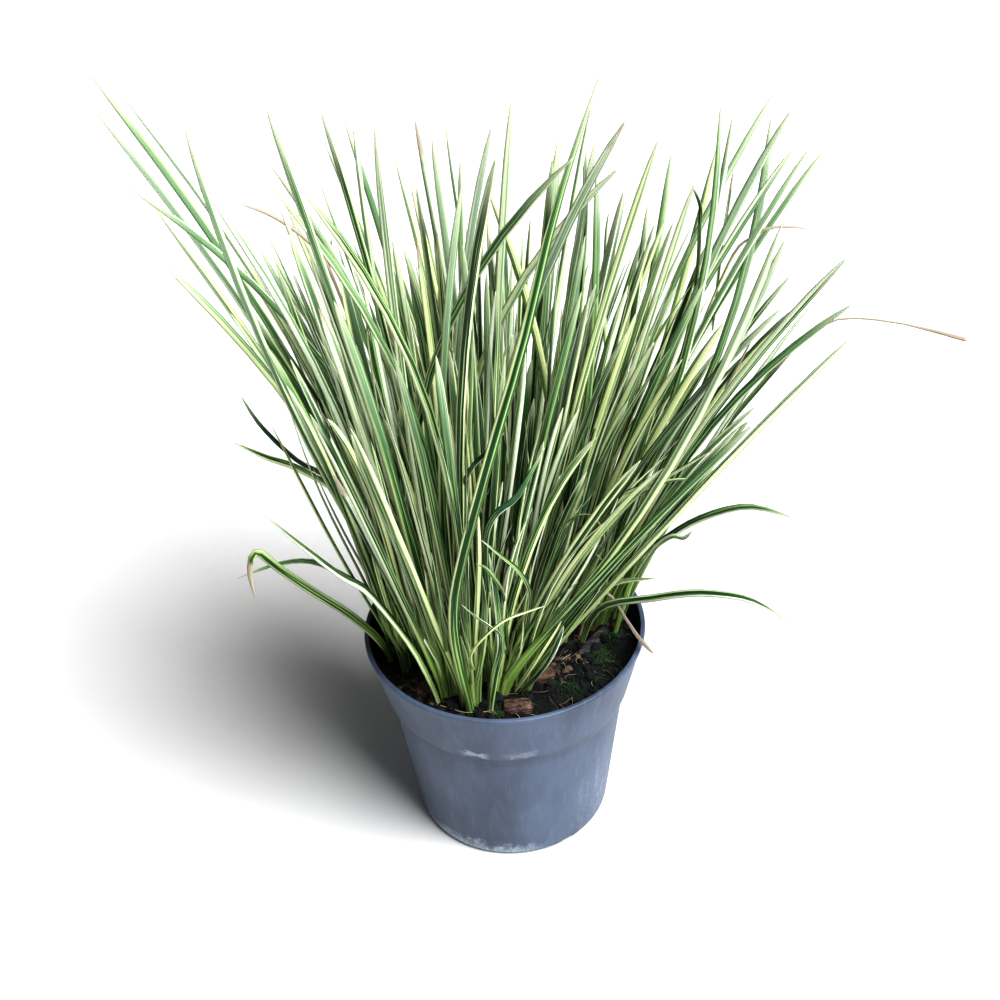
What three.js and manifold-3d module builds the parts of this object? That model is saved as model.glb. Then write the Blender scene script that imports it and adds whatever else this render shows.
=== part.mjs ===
// Potted variegated Japanese sweet flag: a nursery pot, its soil and a clump of sword-leaf fans.
// Millimetres, +Z up. The origin is the centre of the pot's base, X runs to the right of the
// front view and Y away from it.
import * as THREE from "three";
import { mergeVertices } from "three/addons/utils/BufferGeometryUtils.js";
import Module from "manifold-3d";

const wasm = await Module();
wasm.setup();

// Pot
const POT_HEIGHT = 140;
const RIM_OUTER_RADIUS = 85;
const LIP_WIDTH = 3;
const LIP_HEIGHT = 3.2;
const COLLAR_HEIGHT = 43;
const COLLAR_LOW_RADIUS = 74.8;
const STEP_DEPTH = 2.8;
const STEP_HEIGHT = 1.8;
const BASE_RADIUS = 60;
const BASE_CORNER = 6;
const WALL = 1.7;
const POT_SIDES = 34;
const DRAIN_HOLE_RADIUS = 4.5;
const DRAIN_HOLE_COUNT = 6;
const DRAIN_CIRCLE_RADIUS = 40;
const NOTCH_WIDTH = 9;
const NOTCH_HEIGHT = 4;
const NOTCH_DIRECTIONS_DEG = [-58, 32, 122, 212];

// Soil
const SOIL_LEVEL = 128;
const SOIL_GAP = 0.35;
const SOIL_RING_RADII = [32, 60];

// Leaf fans
const SEAT_DEPTH = 8;
const SEAT_GAP = 0.4;
const SHEATH_HEIGHT = 14;
const CELL_WIDTH = 1.7;
const SHEATH_THICK = 4.6;
const SHEATH_EDGE_THICK = 1.7;
const LEAF_THICK = 1.3;
const NEIGHBOUR_GAP = 2.5;
const LOW_NEIGHBOUR_GAP = 3;
const OWN_FAN_GAP = 0.5;
const TRIES = 28;
const STUB_SHARE = 0.09;

// Each fan: base x, y; tip x, y, z of its middle leaf; arch; leaves; degrees between leaves;
// direction of the fan's plane in degrees from X; leaf width.
const LEAF_FANS = [
  [-22, -57, -42, -70, 446, 0.05, 6, 4, 8, 6.6],
  [-34, -48, -68, -64, 450, 0.06, 6, 4, 24, 6.4],
  [-8, -50, 74, -74, 350, 0.1, 6, 5, -6, 6.4],
  [6, -45, 104, -62, 330, 0.12, 6, 4.4, -14, 6],
  [-45, -24, -88, -44, 444, 0.07, 6, 3.8, 34, 6],
  [-16, -38, -14, -45, 454, 0.04, 7, 4, -10, 6.2],
  [-58, -21, -98, -30, 456, 0.07, 6, 3.2, 46, 6],
  [-31, -31, -46, -38, 456, 0.05, 6, 4, 26, 6],
  [-7, -27, 24, -36, 452, 0.05, 6, 4, 6, 6.2],
  [8, -28, 78, -46, 418, 0.08, 6, 4.2, -18, 6],
  [-64, -7, -136, -6, 484, 0.07, 7, 2.8, 50, 5.8],
  [-46, -9, -100, -10, 466, 0.06, 6, 3.8, 30, 5.8],
  [-27, -9, -46, -10, 466, 0.04, 6, 4, -18, 6],
  [-9, -9, -4, -10, 462, 0.03, 6, 4, 14, 6],
  [9, -8, 40, -15, 452, 0.05, 6, 4.2, -26, 6],
  [27, -6, 106, -30, 437, 0.08, 6, 4.4, -12, 6],
  [-58, 9, -144, 16, 462, 0.08, 6, 3, 46, 5.8],
  [-38, 8, -76, 10, 470, 0.05, 6, 4, 34, 5.8],
  [-19, 9, -30, 10, 462, 0.04, 6, 4, -24, 5.8],
  [0, 9, 20, 10, 476, 0.03, 6, 4, 22, 6],
  [19, 10, 54, 20, 486, 0.06, 6, 3.8, -10, 6.6],
  [36, 8, 122, 0, 470, 0.07, 6, 4, -22, 6],
  [53, 6, 178, -30, 414, 0.12, 7, 3.4, -20, 6],
  [-50, 25, -122, 50, 432, 0.08, 7, 3.4, 44, 5.6],
  [-30, 25, -98, 52, 412, 0.06, 6, 4, -28, 5.6],
  [-12, 26, -32, 50, 442, 0.05, 6, 4.2, 38, 5.6],
  [7, 26, 8, 50, 442, 0.04, 6, 4.2, -32, 5.8],
  [26, 25, 82, 50, 444, 0.06, 6, 4, -6, 5.8],
  [44, 24, 138, 50, 444, 0.07, 6, 4, -24, 5.8],
  [66, 12, 176, -28, 396, 0.12, 6, 3, -20, 5.8],
  [-59, 33, -176, 80, 420, 0.09, 6, 3.4, -48, 5.6],
  [-38, 42, -112, 108, 432, 0.07, 6, 4, 30, 5.6],
  [-20, 42, -70, 108, 420, 0.06, 6, 4.2, -18, 5.6],
  [-2, 43, -22, 108, 416, 0.06, 6, 4.2, 24, 5.6],
  [16, 42, 40, 108, 376, 0.06, 6, 4.4, -34, 5.6],
  [34, 41, 106, 108, 396, 0.08, 7, 4.2, -28, 5.6],
  [50, 40, 160, 84, 434, 0.08, 6, 4, -30, 5.6],
  [-28, 58, -116, 166, 356, 0.1, 6, 4.4, 32, 5.6],
  [-9, 59, -46, 166, 376, 0.1, 6, 4.4, -14, 5.6],
  [10, 59, 28, 166, 360, 0.1, 6, 4.4, 26, 5.6],
  [29, 57, 102, 162, 342, 0.1, 6, 4.4, -30, 5.6],
  [64, 29, 176, 50, 430, 0.08, 7, 3.6, -10, 5.6],
];

// Leaves that stand out of the clump: fan; place in it, counted from 0 at its left; tip x, y, z; arch.
const OUTER_LEAVES = [
  [1, 1, -76, -118, 497, 0.26], [1, 4, 9, -106, 503, 0.24], [2, 4, -46, -52, 496, -0.16],
  [2, 5, -7, -40, 459, 0.22], [3, 1, 71, -62, 498, 0.22], [3, 3, 141, -86, 452, -0.1],
  [3, 5, 131, -86, 337, 0.02], [4, 2, 145, -74, 436, -0.06], [4, 4, 126, -74, 328, 0.02],
  [4, 5, 180, -74, 377, 0.02], [5, 5, 46, -68, 483, 0.26], [7, 1, -127, -54, 465, 0.14],
  [8, 0, -97, -62, 473, 0.26], [8, 1, -94, -62, 513, 0.02], [9, 2, 19, -24, 493, 0.1],
  [10, 5, 146, -70, 397, 0.08], [12, 1, -139, -22, 487, -0.08], [13, 0, -103, 14, 422, 0],
  [13, 5, 9, -22, 479, 0.24], [15, 5, 87, -51, 481, 0.04], [16, 0, 59, -18, 447, -0.16],
  [17, 0, -164, -8, 406, 0.12], [18, 1, -102, -14, 463, 0.22], [18, 3, -76, 10, 477, 0.1],
  [19, 5, 71, -26, 454, 0.26], [20, 0, -21, -14, 473, -0.02], [20, 5, 61, 34, 459, 0.02],
  [22, 0, 5, -12, 440, 0.26], [22, 2, 111, 0, 430, 0.02], [22, 3, 121, -12, 478, -0.16],
  [23, 4, 183, -42, 405, 0.08], [24, 0, -177, 2, 445, 0.22], [24, 6, -65, 74, 437, -0.08],
  [26, 1, -41, 26, 383, 0.1], [26, 3, -31, 50, 451, 0.16], [27, 1, -15, 62, 440, 0.04],
  [27, 4, 40, 26, 436, 0.02], [29, 1, 93, 62, 388, -0.08], [29, 3, 155, 38, 446, -0.16],
  [29, 4, 166, 26, 433, 0.1], [29, 5, 174, 26, 432, 0.06], [30, 0, 156, -16, 475, 0.1],
  [30, 4, 188, -40, 376, 0.16], [31, 0, -210, 116, 435, 0.1], [31, 2, -206, 104, 461, 0.1],
  [31, 3, -178, 68, 399, 0.06], [31, 5, -180, 44, 477, 0.1], [32, 4, -73, 120, 419, 0.24],
  [33, 3, -46, 108, 402, 0.24], [35, 3, 62, 108, 403, -0.16], [37, 0, 110, 96, 399, -0.06],
  [37, 2, 134, 84, 407, -0.04], [37, 3, 165, 84, 438, 0.12], [37, 4, 189, 60, 414, 0.08],
  [38, 2, -116, 154, 352, -0.04], [38, 4, -93, 202, 368, 0.22], [42, 1, 137, 50, 442, -0.08],
];

// The flat faces of the leaves with a course of their own look towards the front and up.
const FACING = new THREE.Vector3(0, -0.8, 0.6);

// Leaves with a course of their own: name, base x, y, width, then points along the leaf.
const LONE_LEAVES = [
  ["dry_tip_leaf_left", -70, -15, 5.4, [
    [-76, -24, 157], [-90, -36, 187], [-107, -46, 213], [-122, -54, 237], [-132, -58, 252], [-137, -60, 240],
    [-136, -61, 221],
  ]],
  ["low_leaf_left", -42, -53, 4.2, [
    [-53, -54, 172], [-73, -55, 214], [-88, -56, 230], [-105, -57, 251], [-126, -53, 274],
  ]],
  ["drooping_leaf_left", -71, 3, 3.8, [
    [-75, -8, 173], [-91, -13, 195], [-108, -19, 212], [-127, -27, 218], [-149, -34, 215],
  ]],
  ["blue_leaf_left", -62, 46, 3.6, [
    [-79, 49, 172], [-100, 52, 217], [-118, 54, 232], [-136, 54, 258], [-145, 52, 282],
  ]],
  ["cream_leaf_left", -70, 20, 4.4, [
    [-76, 18, 180], [-89, 14, 231], [-111, 7, 259], [-128, 1, 273], [-144, -3, 287],
  ]],
  ["bent_leaf_front", -11, -64, 5, [
    [-7, -66, 160], [-3, -68, 180], [-3, -72, 205], [-4, -75, 229], [-6, -78, 258],
  ]],
  ["broad_leaf_front", -23, -63, 7, [
    [-27, -67, 172], [-28, -71, 206], [-23, -75, 242], [-6, -77, 307], [17, -72, 382], [36, -61, 449],
    [60, -50, 515],
  ]],
  ["arched_leaf_right", 67, -4, 4.8, [
    [81, -6, 187], [94, -12, 206], [114, -24, 230], [138, -39, 248], [161, -54, 250],
  ]],
  ["long_leaf_right", 47, -9, 5, [
    [58, -16, 162], [87, -27, 176], [113, -38, 187], [140, -48, 188], [161, -56, 177],
  ]],
  ["short_leaf_right", 36, -8, 4, [
    [46, -11, 164], [57, -14, 174], [70, -21, 185], [89, -32, 195],
  ]],
  ["thread_leaf_right", 55, 51, 3.2, [
    [84, 34, 180], [115, 26, 228], [147, 15, 285], [179, 0, 337], [209, -14, 348], [249, -44, 351],
  ]],
];

const DEAD_LEAF = ["dead_leaf_on_rim", 46, -2, 3.4, [
  [54, -3, 158], [63, -7, 164], [72, -17, 153], [79, -30, 148], [86, -42, 146],
]];

// Pieces lying in the soil: name, x, y, length, width, height, turn in degrees, colour.
const LITTER = [
  ["bark_stick", 53, -12, 33, 7, 7, 54, 0x4a4640],
  ["bark_lump_middle", 21, -36, 15, 12, 9, 20, 0x6b4a38],
  ["bark_lump_front", 5, -63, 18, 10, 8, -6, 0x5d3f30],
  ["bark_chip", -48, -41, 13, 10, 4, 34, 0x564234],
];

// Repeatable random numbers, one stream for each fan.
function numbers(seed) {
  let state = (seed * 7919 + 104729) % 2147483647;
  return () => {
    state = (state * 16807) % 2147483647;
    return state / 2147483647;
  };
}

function soilHeight(x, y) {
  const broad = 1.5 * Math.sin(0.085 * x + 1.3) * Math.cos(0.1 * y - 0.4);
  const fine = 0.8 * Math.sin(0.21 * x - 0.17 * y);
  const edge = Math.max(0, Math.hypot(x, y) - 62);
  return SOIL_LEVEL + broad + fine - 0.12 * edge;
}

function geometryOf(points, faces) {
  const geometry = new THREE.BufferGeometry();
  geometry.setAttribute("position", new THREE.Float32BufferAttribute(points.flat(), 3));
  geometry.setIndex(faces.flat());
  return geometry;
}

function manifoldOf(geometry) {
  const bare = geometry.clone();
  bare.deleteAttribute("normal");
  bare.deleteAttribute("uv");
  const merged = mergeVertices(bare, 1e-3);
  return new wasm.Manifold(new wasm.Mesh({
    numProp: 3,
    vertProperties: new Float32Array(merged.attributes.position.array),
    triVerts: new Uint32Array(merged.index.array),
  }));
}

function geometryFrom(solid) {
  const mesh = solid.getMesh();
  const geometry = new THREE.BufferGeometry();
  geometry.setAttribute("position", new THREE.Float32BufferAttribute(mesh.vertProperties, 3));
  geometry.setIndex(new THREE.BufferAttribute(mesh.triVerts, 1));
  return geometry;
}

// A solid of revolution about Z from a profile of [radius, height] that starts and ends on the axis.
function turned(profile) {
  const points = [[0, 0, profile[0][1]]];
  const faces = [];
  const rings = profile.slice(1, -1);
  for (const [radius, height] of rings) {
    for (let i = 0; i < POT_SIDES; i += 1) {
      const angle = (2 * Math.PI * i) / POT_SIDES;
      points.push([radius * Math.cos(angle), radius * Math.sin(angle), height]);
    }
  }
  const last = points.length;
  points.push([0, 0, profile[profile.length - 1][1]]);
  for (let i = 0; i < POT_SIDES; i += 1) {
    const next = (i + 1) % POT_SIDES;
    faces.push([0, 1 + next, 1 + i]);
    for (let ring = 0; ring + 1 < rings.length; ring += 1) {
      const low = 1 + ring * POT_SIDES;
      const high = low + POT_SIDES;
      faces.push([low + i, low + next, high + next], [low + i, high + next, high + i]);
    }
    const top = 1 + (rings.length - 1) * POT_SIDES;
    faces.push([top + i, top + next, last]);
  }
  return geometryOf(points, faces);
}

// The inner wall, from the floor's edge up to the lip.
function innerWall(gap) {
  const step = POT_HEIGHT - COLLAR_HEIGHT;
  return [
    [BASE_RADIUS - BASE_CORNER - gap, WALL + gap],
    [BASE_RADIUS - WALL - 0.6 - gap, WALL + 5 + gap],
    [COLLAR_LOW_RADIUS - STEP_DEPTH - WALL - gap, step + STEP_HEIGHT],
    [COLLAR_LOW_RADIUS - WALL - gap, step + 2 * STEP_HEIGHT + 1],
    [RIM_OUTER_RADIUS - WALL - 0.8 - gap, POT_HEIGHT - LIP_HEIGHT - 1],
  ];
}

function makePot() {
  const step = POT_HEIGHT - COLLAR_HEIGHT;
  const outer = [
    [BASE_RADIUS - BASE_CORNER, 0],
    [BASE_RADIUS - 1.8, 1.8],
    [BASE_RADIUS, BASE_CORNER],
    [COLLAR_LOW_RADIUS - STEP_DEPTH, step - 0.2],
    [COLLAR_LOW_RADIUS, step + STEP_HEIGHT],
    [RIM_OUTER_RADIUS - 0.9, POT_HEIGHT - LIP_HEIGHT],
    [RIM_OUTER_RADIUS, POT_HEIGHT - LIP_HEIGHT + 0.7],
    [RIM_OUTER_RADIUS, POT_HEIGHT - 0.8],
    [RIM_OUTER_RADIUS - 0.8, POT_HEIGHT],
    [RIM_OUTER_RADIUS - LIP_WIDTH + 0.5, POT_HEIGHT],
    [RIM_OUTER_RADIUS - LIP_WIDTH, POT_HEIGHT - 0.7],
  ];
  const profile = [[0, 0], ...outer, ...innerWall(0).reverse(), [0, WALL]];
  let solid = manifoldOf(turned(profile));
  for (let i = 0; i < DRAIN_HOLE_COUNT; i += 1) {
    const angle = (2 * Math.PI * (i + 0.5)) / DRAIN_HOLE_COUNT;
    const hole = new THREE.CylinderGeometry(DRAIN_HOLE_RADIUS, DRAIN_HOLE_RADIUS, 8, 10);
    hole.rotateX(Math.PI / 2);
    hole.translate(DRAIN_CIRCLE_RADIUS * Math.cos(angle), DRAIN_CIRCLE_RADIUS * Math.sin(angle), 0);
    solid = solid.subtract(manifoldOf(hole));
  }
  for (const degrees of NOTCH_DIRECTIONS_DEG) {
    const notch = new THREE.BoxGeometry(7, NOTCH_WIDTH, 2 * NOTCH_HEIGHT);
    notch.translate(BASE_RADIUS - 0.5, 0, 0);
    notch.rotateZ(THREE.MathUtils.degToRad(degrees));
    solid = solid.subtract(manifoldOf(notch));
  }
  return geometryFrom(solid);
}

// A block between two level rectangles, each with a centre, half length, half width and height.
function block(low, high, across) {
  const along = new THREE.Vector2(-across.y, across.x);
  const points = [];
  for (const level of [low, high]) {
    for (const [a, b] of [[-1, -1], [1, -1], [1, 1], [-1, 1]]) {
      points.push([
        level.x + a * level.half * across.x + b * level.side * along.x,
        level.y + a * level.half * across.y + b * level.side * along.y,
        level.z,
      ]);
    }
  }
  const faces = [[0, 2, 1], [0, 3, 2], [4, 5, 6], [4, 6, 7]];
  for (let i = 0; i < 4; i += 1) {
    const next = (i + 1) % 4;
    faces.push([i, next, 4 + next], [i, 4 + next, 4 + i]);
  }
  return geometryOf(points, faces);
}

function makeSoil(seats) {
  const wall = innerWall(SOIL_GAP);
  const [low, high] = [wall[3], wall[4]];
  const edgeRadius = low[0] + ((high[0] - low[0]) * (SOIL_LEVEL - 4 - low[1])) / (high[1] - low[1]);
  const profile = [[0, wall[0][1]], ...wall.slice(0, 4), [edgeRadius, SOIL_LEVEL - 4]];
  const body = turned([...profile, [0, SOIL_LEVEL - 4]]);
  const points = [];
  const faces = [];
  const position = body.getAttribute("position");
  for (let i = 0; i < position.count - 1; i += 1) {
    points.push([position.getX(i), position.getY(i), position.getZ(i)]);
  }
  const index = body.getIndex();
  for (let i = 0; i < index.count; i += 3) {
    const face = [index.getX(i), index.getX(i + 1), index.getX(i + 2)];
    if (!face.includes(position.count - 1)) faces.push(face);
  }
  let outerRing = points.length - POT_SIDES;
  for (const radius of [...SOIL_RING_RADII].reverse()) {
    const ring = points.length;
    for (let i = 0; i < POT_SIDES; i += 1) {
      const angle = (2 * Math.PI * i) / POT_SIDES;
      const x = radius * Math.cos(angle);
      const y = radius * Math.sin(angle);
      points.push([x, y, soilHeight(x, y)]);
    }
    for (let i = 0; i < POT_SIDES; i += 1) {
      const next = (i + 1) % POT_SIDES;
      faces.push([outerRing + i, outerRing + next, ring + next], [outerRing + i, ring + next, ring + i]);
    }
    outerRing = ring;
  }
  const middle = points.length;
  points.push([0, 0, soilHeight(0, 0)]);
  for (let i = 0; i < POT_SIDES; i += 1) {
    faces.push([outerRing + i, outerRing + ((i + 1) % POT_SIDES), middle]);
  }
  let solid = manifoldOf(geometryOf(points, faces));
  for (const seat of seats) solid = solid.subtract(manifoldOf(seat));
  return geometryFrom(solid);
}

// The shortest distance between two straight stretches.
function stretchDistance(p1, q1, p2, q2) {
  const d1 = q1.clone().sub(p1);
  const d2 = q2.clone().sub(p2);
  const r = p1.clone().sub(p2);
  const a = d1.dot(d1);
  const e = d2.dot(d2);
  const b = d1.dot(d2);
  const c = d1.dot(r);
  const f = d2.dot(r);
  const denominator = a * e - b * b;
  let s = denominator > 1e-9 ? THREE.MathUtils.clamp((b * f - c * e) / denominator, 0, 1) : 0;
  let t = (b * s + f) / e;
  if (t < 0) {
    t = 0;
    s = THREE.MathUtils.clamp(-c / a, 0, 1);
  } else if (t > 1) {
    t = 1;
    s = THREE.MathUtils.clamp((b - c) / a, 0, 1);
  }
  return p1.clone().addScaledVector(d1, s).distanceTo(p2.clone().addScaledVector(d2, t));
}

// The full width of a leaf at a distance from its sheath.
function leafWidth(distance, leaf) {
  const t = distance / leaf.length;
  const taper = t < 0.55 ? 1 : 1 - ((t - 0.55) / 0.45) ** 2;
  return Math.min(leaf.width * taper, CELL_WIDTH + leaf.room * distance);
}

// Left edge, middle and right edge of one leaf at a list of distances.
function leafLines(leaf, distances) {
  const lines = [[], [], []];
  for (const distance of distances) {
    const t = distance / leaf.curveLength;
    const centre = leaf.start.clone()
      .addScaledVector(leaf.direction, distance)
      .addScaledVector(leaf.rise, 2 * leaf.arch * distance * (1 - t));
    const slope = 2 * leaf.arch * (1 - 2 * t);
    const tangent = leaf.direction.clone().addScaledVector(leaf.rise, slope).normalize();
    const side = leaf.across.clone().addScaledVector(tangent, -leaf.across.dot(tangent)).normalize();
    const normal = tangent.clone().cross(side);
    const turn = (leaf.twist * distance) / leaf.length;
    side.multiplyScalar(Math.cos(turn)).addScaledVector(normal, Math.sin(turn));
    const half = leafWidth(distance, leaf) / 2;
    lines[0].push(centre.clone().addScaledVector(side, -half));
    lines[1].push(centre);
    lines[2].push(centre.clone().addScaledVector(side, half));
  }
  return lines;
}

function sectionDistances(leaf) {
  if (leaf.stub) return [0, leaf.length];
  const inner = Math.abs(leaf.arch) * leaf.curveLength > 30 ? [0.18, 0.44, 0.74] : [0.24, 0.7];
  return [0, ...inner.map((t) => t * leaf.length), leaf.length];
}

// Whether a leaf comes nearer than a gap to others, with a gap of its own for the lowest stretches.
function tooClose(lines, others, lowGap, gap) {
  for (const other of others) {
    if (lines.box.distanceTo(other.box) > Math.max(lowGap, gap)) continue;
    for (const mine of lines) {
      for (const theirs of other) {
        for (let i = 0; i + 1 < mine.length; i += 1) {
          for (let j = 0; j + 1 < theirs.length; j += 1) {
            const limit = i === 0 || j === 0 ? lowGap : gap;
            if (stretchDistance(mine[i], mine[i + 1], theirs[j], theirs[j + 1]) < limit) return true;
          }
        }
      }
    }
  }
  return false;
}

function boxed(lines) {
  const box = new THREE.Box3().setFromPoints(lines.flat());
  lines.box = {
    box,
    distanceTo: (other) => Math.hypot(
      Math.max(0, box.min.x - other.box.max.x, other.box.min.x - box.max.x),
      Math.max(0, box.min.y - other.box.max.y, other.box.min.y - box.max.y),
      Math.max(0, box.min.z - other.box.max.z, other.box.min.z - box.max.z),
    ),
  };
  return lines;
}

// Where a fan stands: the top of its sheath, its middle direction, and the directions across and
// out of its plane.
function fanFrame([x, y, tipX, tipY, tipZ, arch, count, spread, plane, width]) {
  const planeAngle = THREE.MathUtils.degToRad(plane);
  const level = new THREE.Vector3(Math.cos(planeAngle), Math.sin(planeAngle), 0);
  const lean = new THREE.Vector3(tipX - x, tipY - y, tipZ - SOIL_LEVEL - SHEATH_HEIGHT);
  const shift = (0.6 * SHEATH_HEIGHT) / lean.z;
  const top = new THREE.Vector3(x + shift * lean.x, y + shift * lean.y, SOIL_LEVEL + SHEATH_HEIGHT);
  const chord = new THREE.Vector3(tipX, tipY, tipZ).sub(top);
  const length = chord.length();
  const middle = chord.normalize();
  const across = level.clone().addScaledVector(middle, -level.dot(middle)).normalize();
  const normal = middle.clone().cross(across);
  const leaves = new Array(count).fill(null);
  return { x, y, top, level, length, middle, across, normal, arch, spread, width, leaves };
}

// The direction in which a leaf arches: upwards, square to the way it leans.
function riseOf(direction) {
  const rise = new THREE.Vector3(0, 0, 1).addScaledVector(direction, -direction.z);
  return rise.multiplyScalar(1 / Math.max(0.3, rise.length()));
}

function leafPlace(fan, j) {
  return j - (fan.leaves.length - 1) / 2;
}

// What every leaf of a fan has from its cell of the sheath.
function cellOf(fan, j) {
  return {
    start: fan.top.clone().addScaledVector(fan.level, leafPlace(fan, j) * CELL_WIDTH),
    across: fan.across,
    room: THREE.MathUtils.degToRad(fan.spread - 0.9),
  };
}

// A leaf whose tip is given.
function placeOuterLeaf([fanNumber, j, tipX, tipY, tipZ, arch], number, fans) {
  const fan = fans[fanNumber - 1];
  const next = numbers(500 + number);
  const [r1, r2] = [next(), next()];
  const cell = cellOf(fan, j);
  const chord = new THREE.Vector3(tipX, tipY, tipZ).sub(cell.start);
  const length = chord.length();
  const direction = chord.normalize();
  const leaf = {
    ...cell,
    direction,
    rise: riseOf(direction),
    arch,
    curveLength: length,
    length,
    twist: 0.8 * (r1 - 0.5),
    width: fan.width * (0.86 + 0.24 * r2),
  };
  leaf.lines = boxed(leafLines(leaf, sectionDistances(leaf)));
  fan.leaves[j] = leaf;
  return leaf.lines;
}

// The other leaves of a fan, each turned a little until it clears the leaves already standing.
function fillFan(fan, number, standing) {
  const next = numbers(number);
  const own = fan.leaves.filter((leaf) => leaf !== null).map((leaf) => leaf.lines);
  const others = standing.filter((lines) => !own.includes(lines));
  const rise = riseOf(fan.middle);
  const free = fan.leaves.flatMap((leaf, j) => (leaf === null ? [j] : []));
  for (const j of free) {
    const place = leafPlace(fan, j);
    const outer = Math.abs(place) / (fan.leaves.length / 2);
    for (let attempt = 0; attempt < TRIES; attempt += 1) {
      const [r1, r2, r3, r4, r5] = [next(), next(), next(), next(), next()];
      const angle = THREE.MathUtils.degToRad(fan.spread * place + 0.8 * (r1 - 0.5));
      const flop = THREE.MathUtils.degToRad((5 + attempt) * (r2 - 0.5) * 2);
      const share = 0.95 - 0.25 * outer ** 1.5 - (0.2 + 0.03 * attempt) * r3;
      const direction = fan.middle.clone().multiplyScalar(Math.cos(angle) * Math.cos(flop))
        .addScaledVector(fan.across, Math.sin(angle) * Math.cos(flop))
        .addScaledVector(fan.normal, Math.sin(flop));
      const leaf = {
        ...cellOf(fan, j),
        direction,
        rise,
        arch: fan.arch,
        curveLength: fan.length,
        stub: attempt === TRIES - 1,
        length: fan.length * (attempt === TRIES - 1 ? STUB_SHARE : share),
        twist: 0.9 * (r4 - 0.5),
        width: fan.width * (0.82 + 0.26 * r5),
      };
      leaf.lines = boxed(leafLines(leaf, sectionDistances(leaf)));
      const clear = !tooClose(leaf.lines, others, LOW_NEIGHBOUR_GAP, NEIGHBOUR_GAP)
        && !tooClose(leaf.lines, own, 0, OWN_FAN_GAP);
      if (clear || leaf.stub) {
        fan.leaves[j] = leaf;
        break;
      }
    }
  }
  return free.map((j) => fan.leaves[j].lines);
}

// One closed body: a sheath that stands in the soil and splits into cells, one leaf to a cell.
function fanGeometry(fan) {
  const count = fan.leaves.length;
  const level = fan.level;
  const side = new THREE.Vector3(-level.y, level.x, 0);
  const points = [];
  const faces = [];
  const add = (p) => points.push([p.x, p.y, p.z]) - 1;
  const foot = new THREE.Vector3(fan.x, fan.y, SOIL_LEVEL - SEAT_DEPTH);
  const footCorner = (a, b) => add(foot.clone()
    .addScaledVector(level, a * 0.42 * count * CELL_WIDTH)
    .addScaledVector(side, b * 0.42 * SHEATH_THICK));
  const [frontLeft, frontRight] = [footCorner(-1, -1), footCorner(1, -1)];
  const [backLeft, backRight] = [footCorner(-1, 1), footCorner(1, 1)];
  const front = [];
  const back = [];
  for (let j = 0; j <= count; j += 1) {
    const place = (2 * j) / count - 1;
    const thick = SHEATH_EDGE_THICK + (SHEATH_THICK - SHEATH_EDGE_THICK) * (1 - place * place);
    const joint = fan.top.clone().addScaledVector(level, (j - count / 2) * CELL_WIDTH);
    front.push(add(joint.clone().addScaledVector(side, -thick / 2)));
    back.push(add(joint.clone().addScaledVector(side, thick / 2)));
  }
  faces.push([frontLeft, backLeft, backRight], [frontLeft, backRight, frontRight]);
  const half = Math.floor(count / 2);
  for (let j = 0; j < count; j += 1) {
    faces.push([j < half ? frontLeft : frontRight, front[j + 1], front[j]]);
    faces.push([j < half ? backLeft : backRight, back[j], back[j + 1]]);
  }
  faces.push([frontLeft, frontRight, front[half]], [backRight, backLeft, back[half]]);
  faces.push([frontLeft, front[0], back[0]], [frontLeft, back[0], backLeft]);
  faces.push([frontRight, back[count], front[count]], [frontRight, backRight, back[count]]);
  fan.leaves.forEach((leaf, j) => {
    let ring = [front[j], front[j + 1], back[j + 1], back[j]];
    const sections = leaf.lines[0].length;
    for (let k = 1; k + 1 < sections; k += 1) {
      const [left, centre, right] = [leaf.lines[0][k], leaf.lines[1][k], leaf.lines[2][k]];
      const along = leaf.lines[1][k + 1].clone().sub(leaf.lines[1][k - 1]);
      const ridge = right.clone().sub(left).cross(along).normalize();
      if (ridge.dot(side) < 0) ridge.negate();
      const thin = LEAF_THICK * (k === 1 ? 1 : 0.8);
      const next = [
        add(left.clone().addScaledVector(ridge, -thin / 3)),
        add(right.clone().addScaledVector(ridge, -thin / 3)),
        add(centre.clone().addScaledVector(ridge, (2 * thin) / 3)),
      ];
      if (ring.length === 4) {
        faces.push([ring[0], ring[1], next[1]], [ring[0], next[1], next[0]]);
        faces.push([ring[1], ring[2], next[1]], [ring[2], next[2], next[1]]);
        faces.push([ring[2], ring[3], next[2]], [ring[3], next[0], next[2]], [ring[3], ring[0], next[0]]);
      } else {
        for (let i = 0; i < 3; i += 1) {
          const after = (i + 1) % 3;
          faces.push([ring[i], ring[after], next[after]], [ring[i], next[after], next[i]]);
        }
      }
      ring = next;
    }
    const tip = add(leaf.lines[1][sections - 1]);
    ring.forEach((corner, i) => faces.push([corner, ring[(i + 1) % ring.length], tip]));
  });
  return geometryOf(points, faces);
}

function fanSeat(fan) {
  const count = fan.leaves.length;
  const share = (SEAT_DEPTH + 6) / (SEAT_DEPTH + SHEATH_HEIGHT);
  const fullHalf = (count * CELL_WIDTH) / 2;
  const low = {
    x: fan.x, y: fan.y, z: SOIL_LEVEL - SEAT_DEPTH - SEAT_GAP,
    half: 0.84 * fullHalf + SEAT_GAP, side: 0.42 * SHEATH_THICK + SEAT_GAP,
  };
  const high = {
    x: fan.x + share * (fan.top.x - fan.x), y: fan.y + share * (fan.top.y - fan.y), z: SOIL_LEVEL + 6,
    half: fullHalf * (0.84 + 0.16 * share) + SEAT_GAP, side: SHEATH_THICK * (0.42 + 0.08 * share) + SEAT_GAP,
  };
  return block(low, high, fan.level);
}

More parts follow.
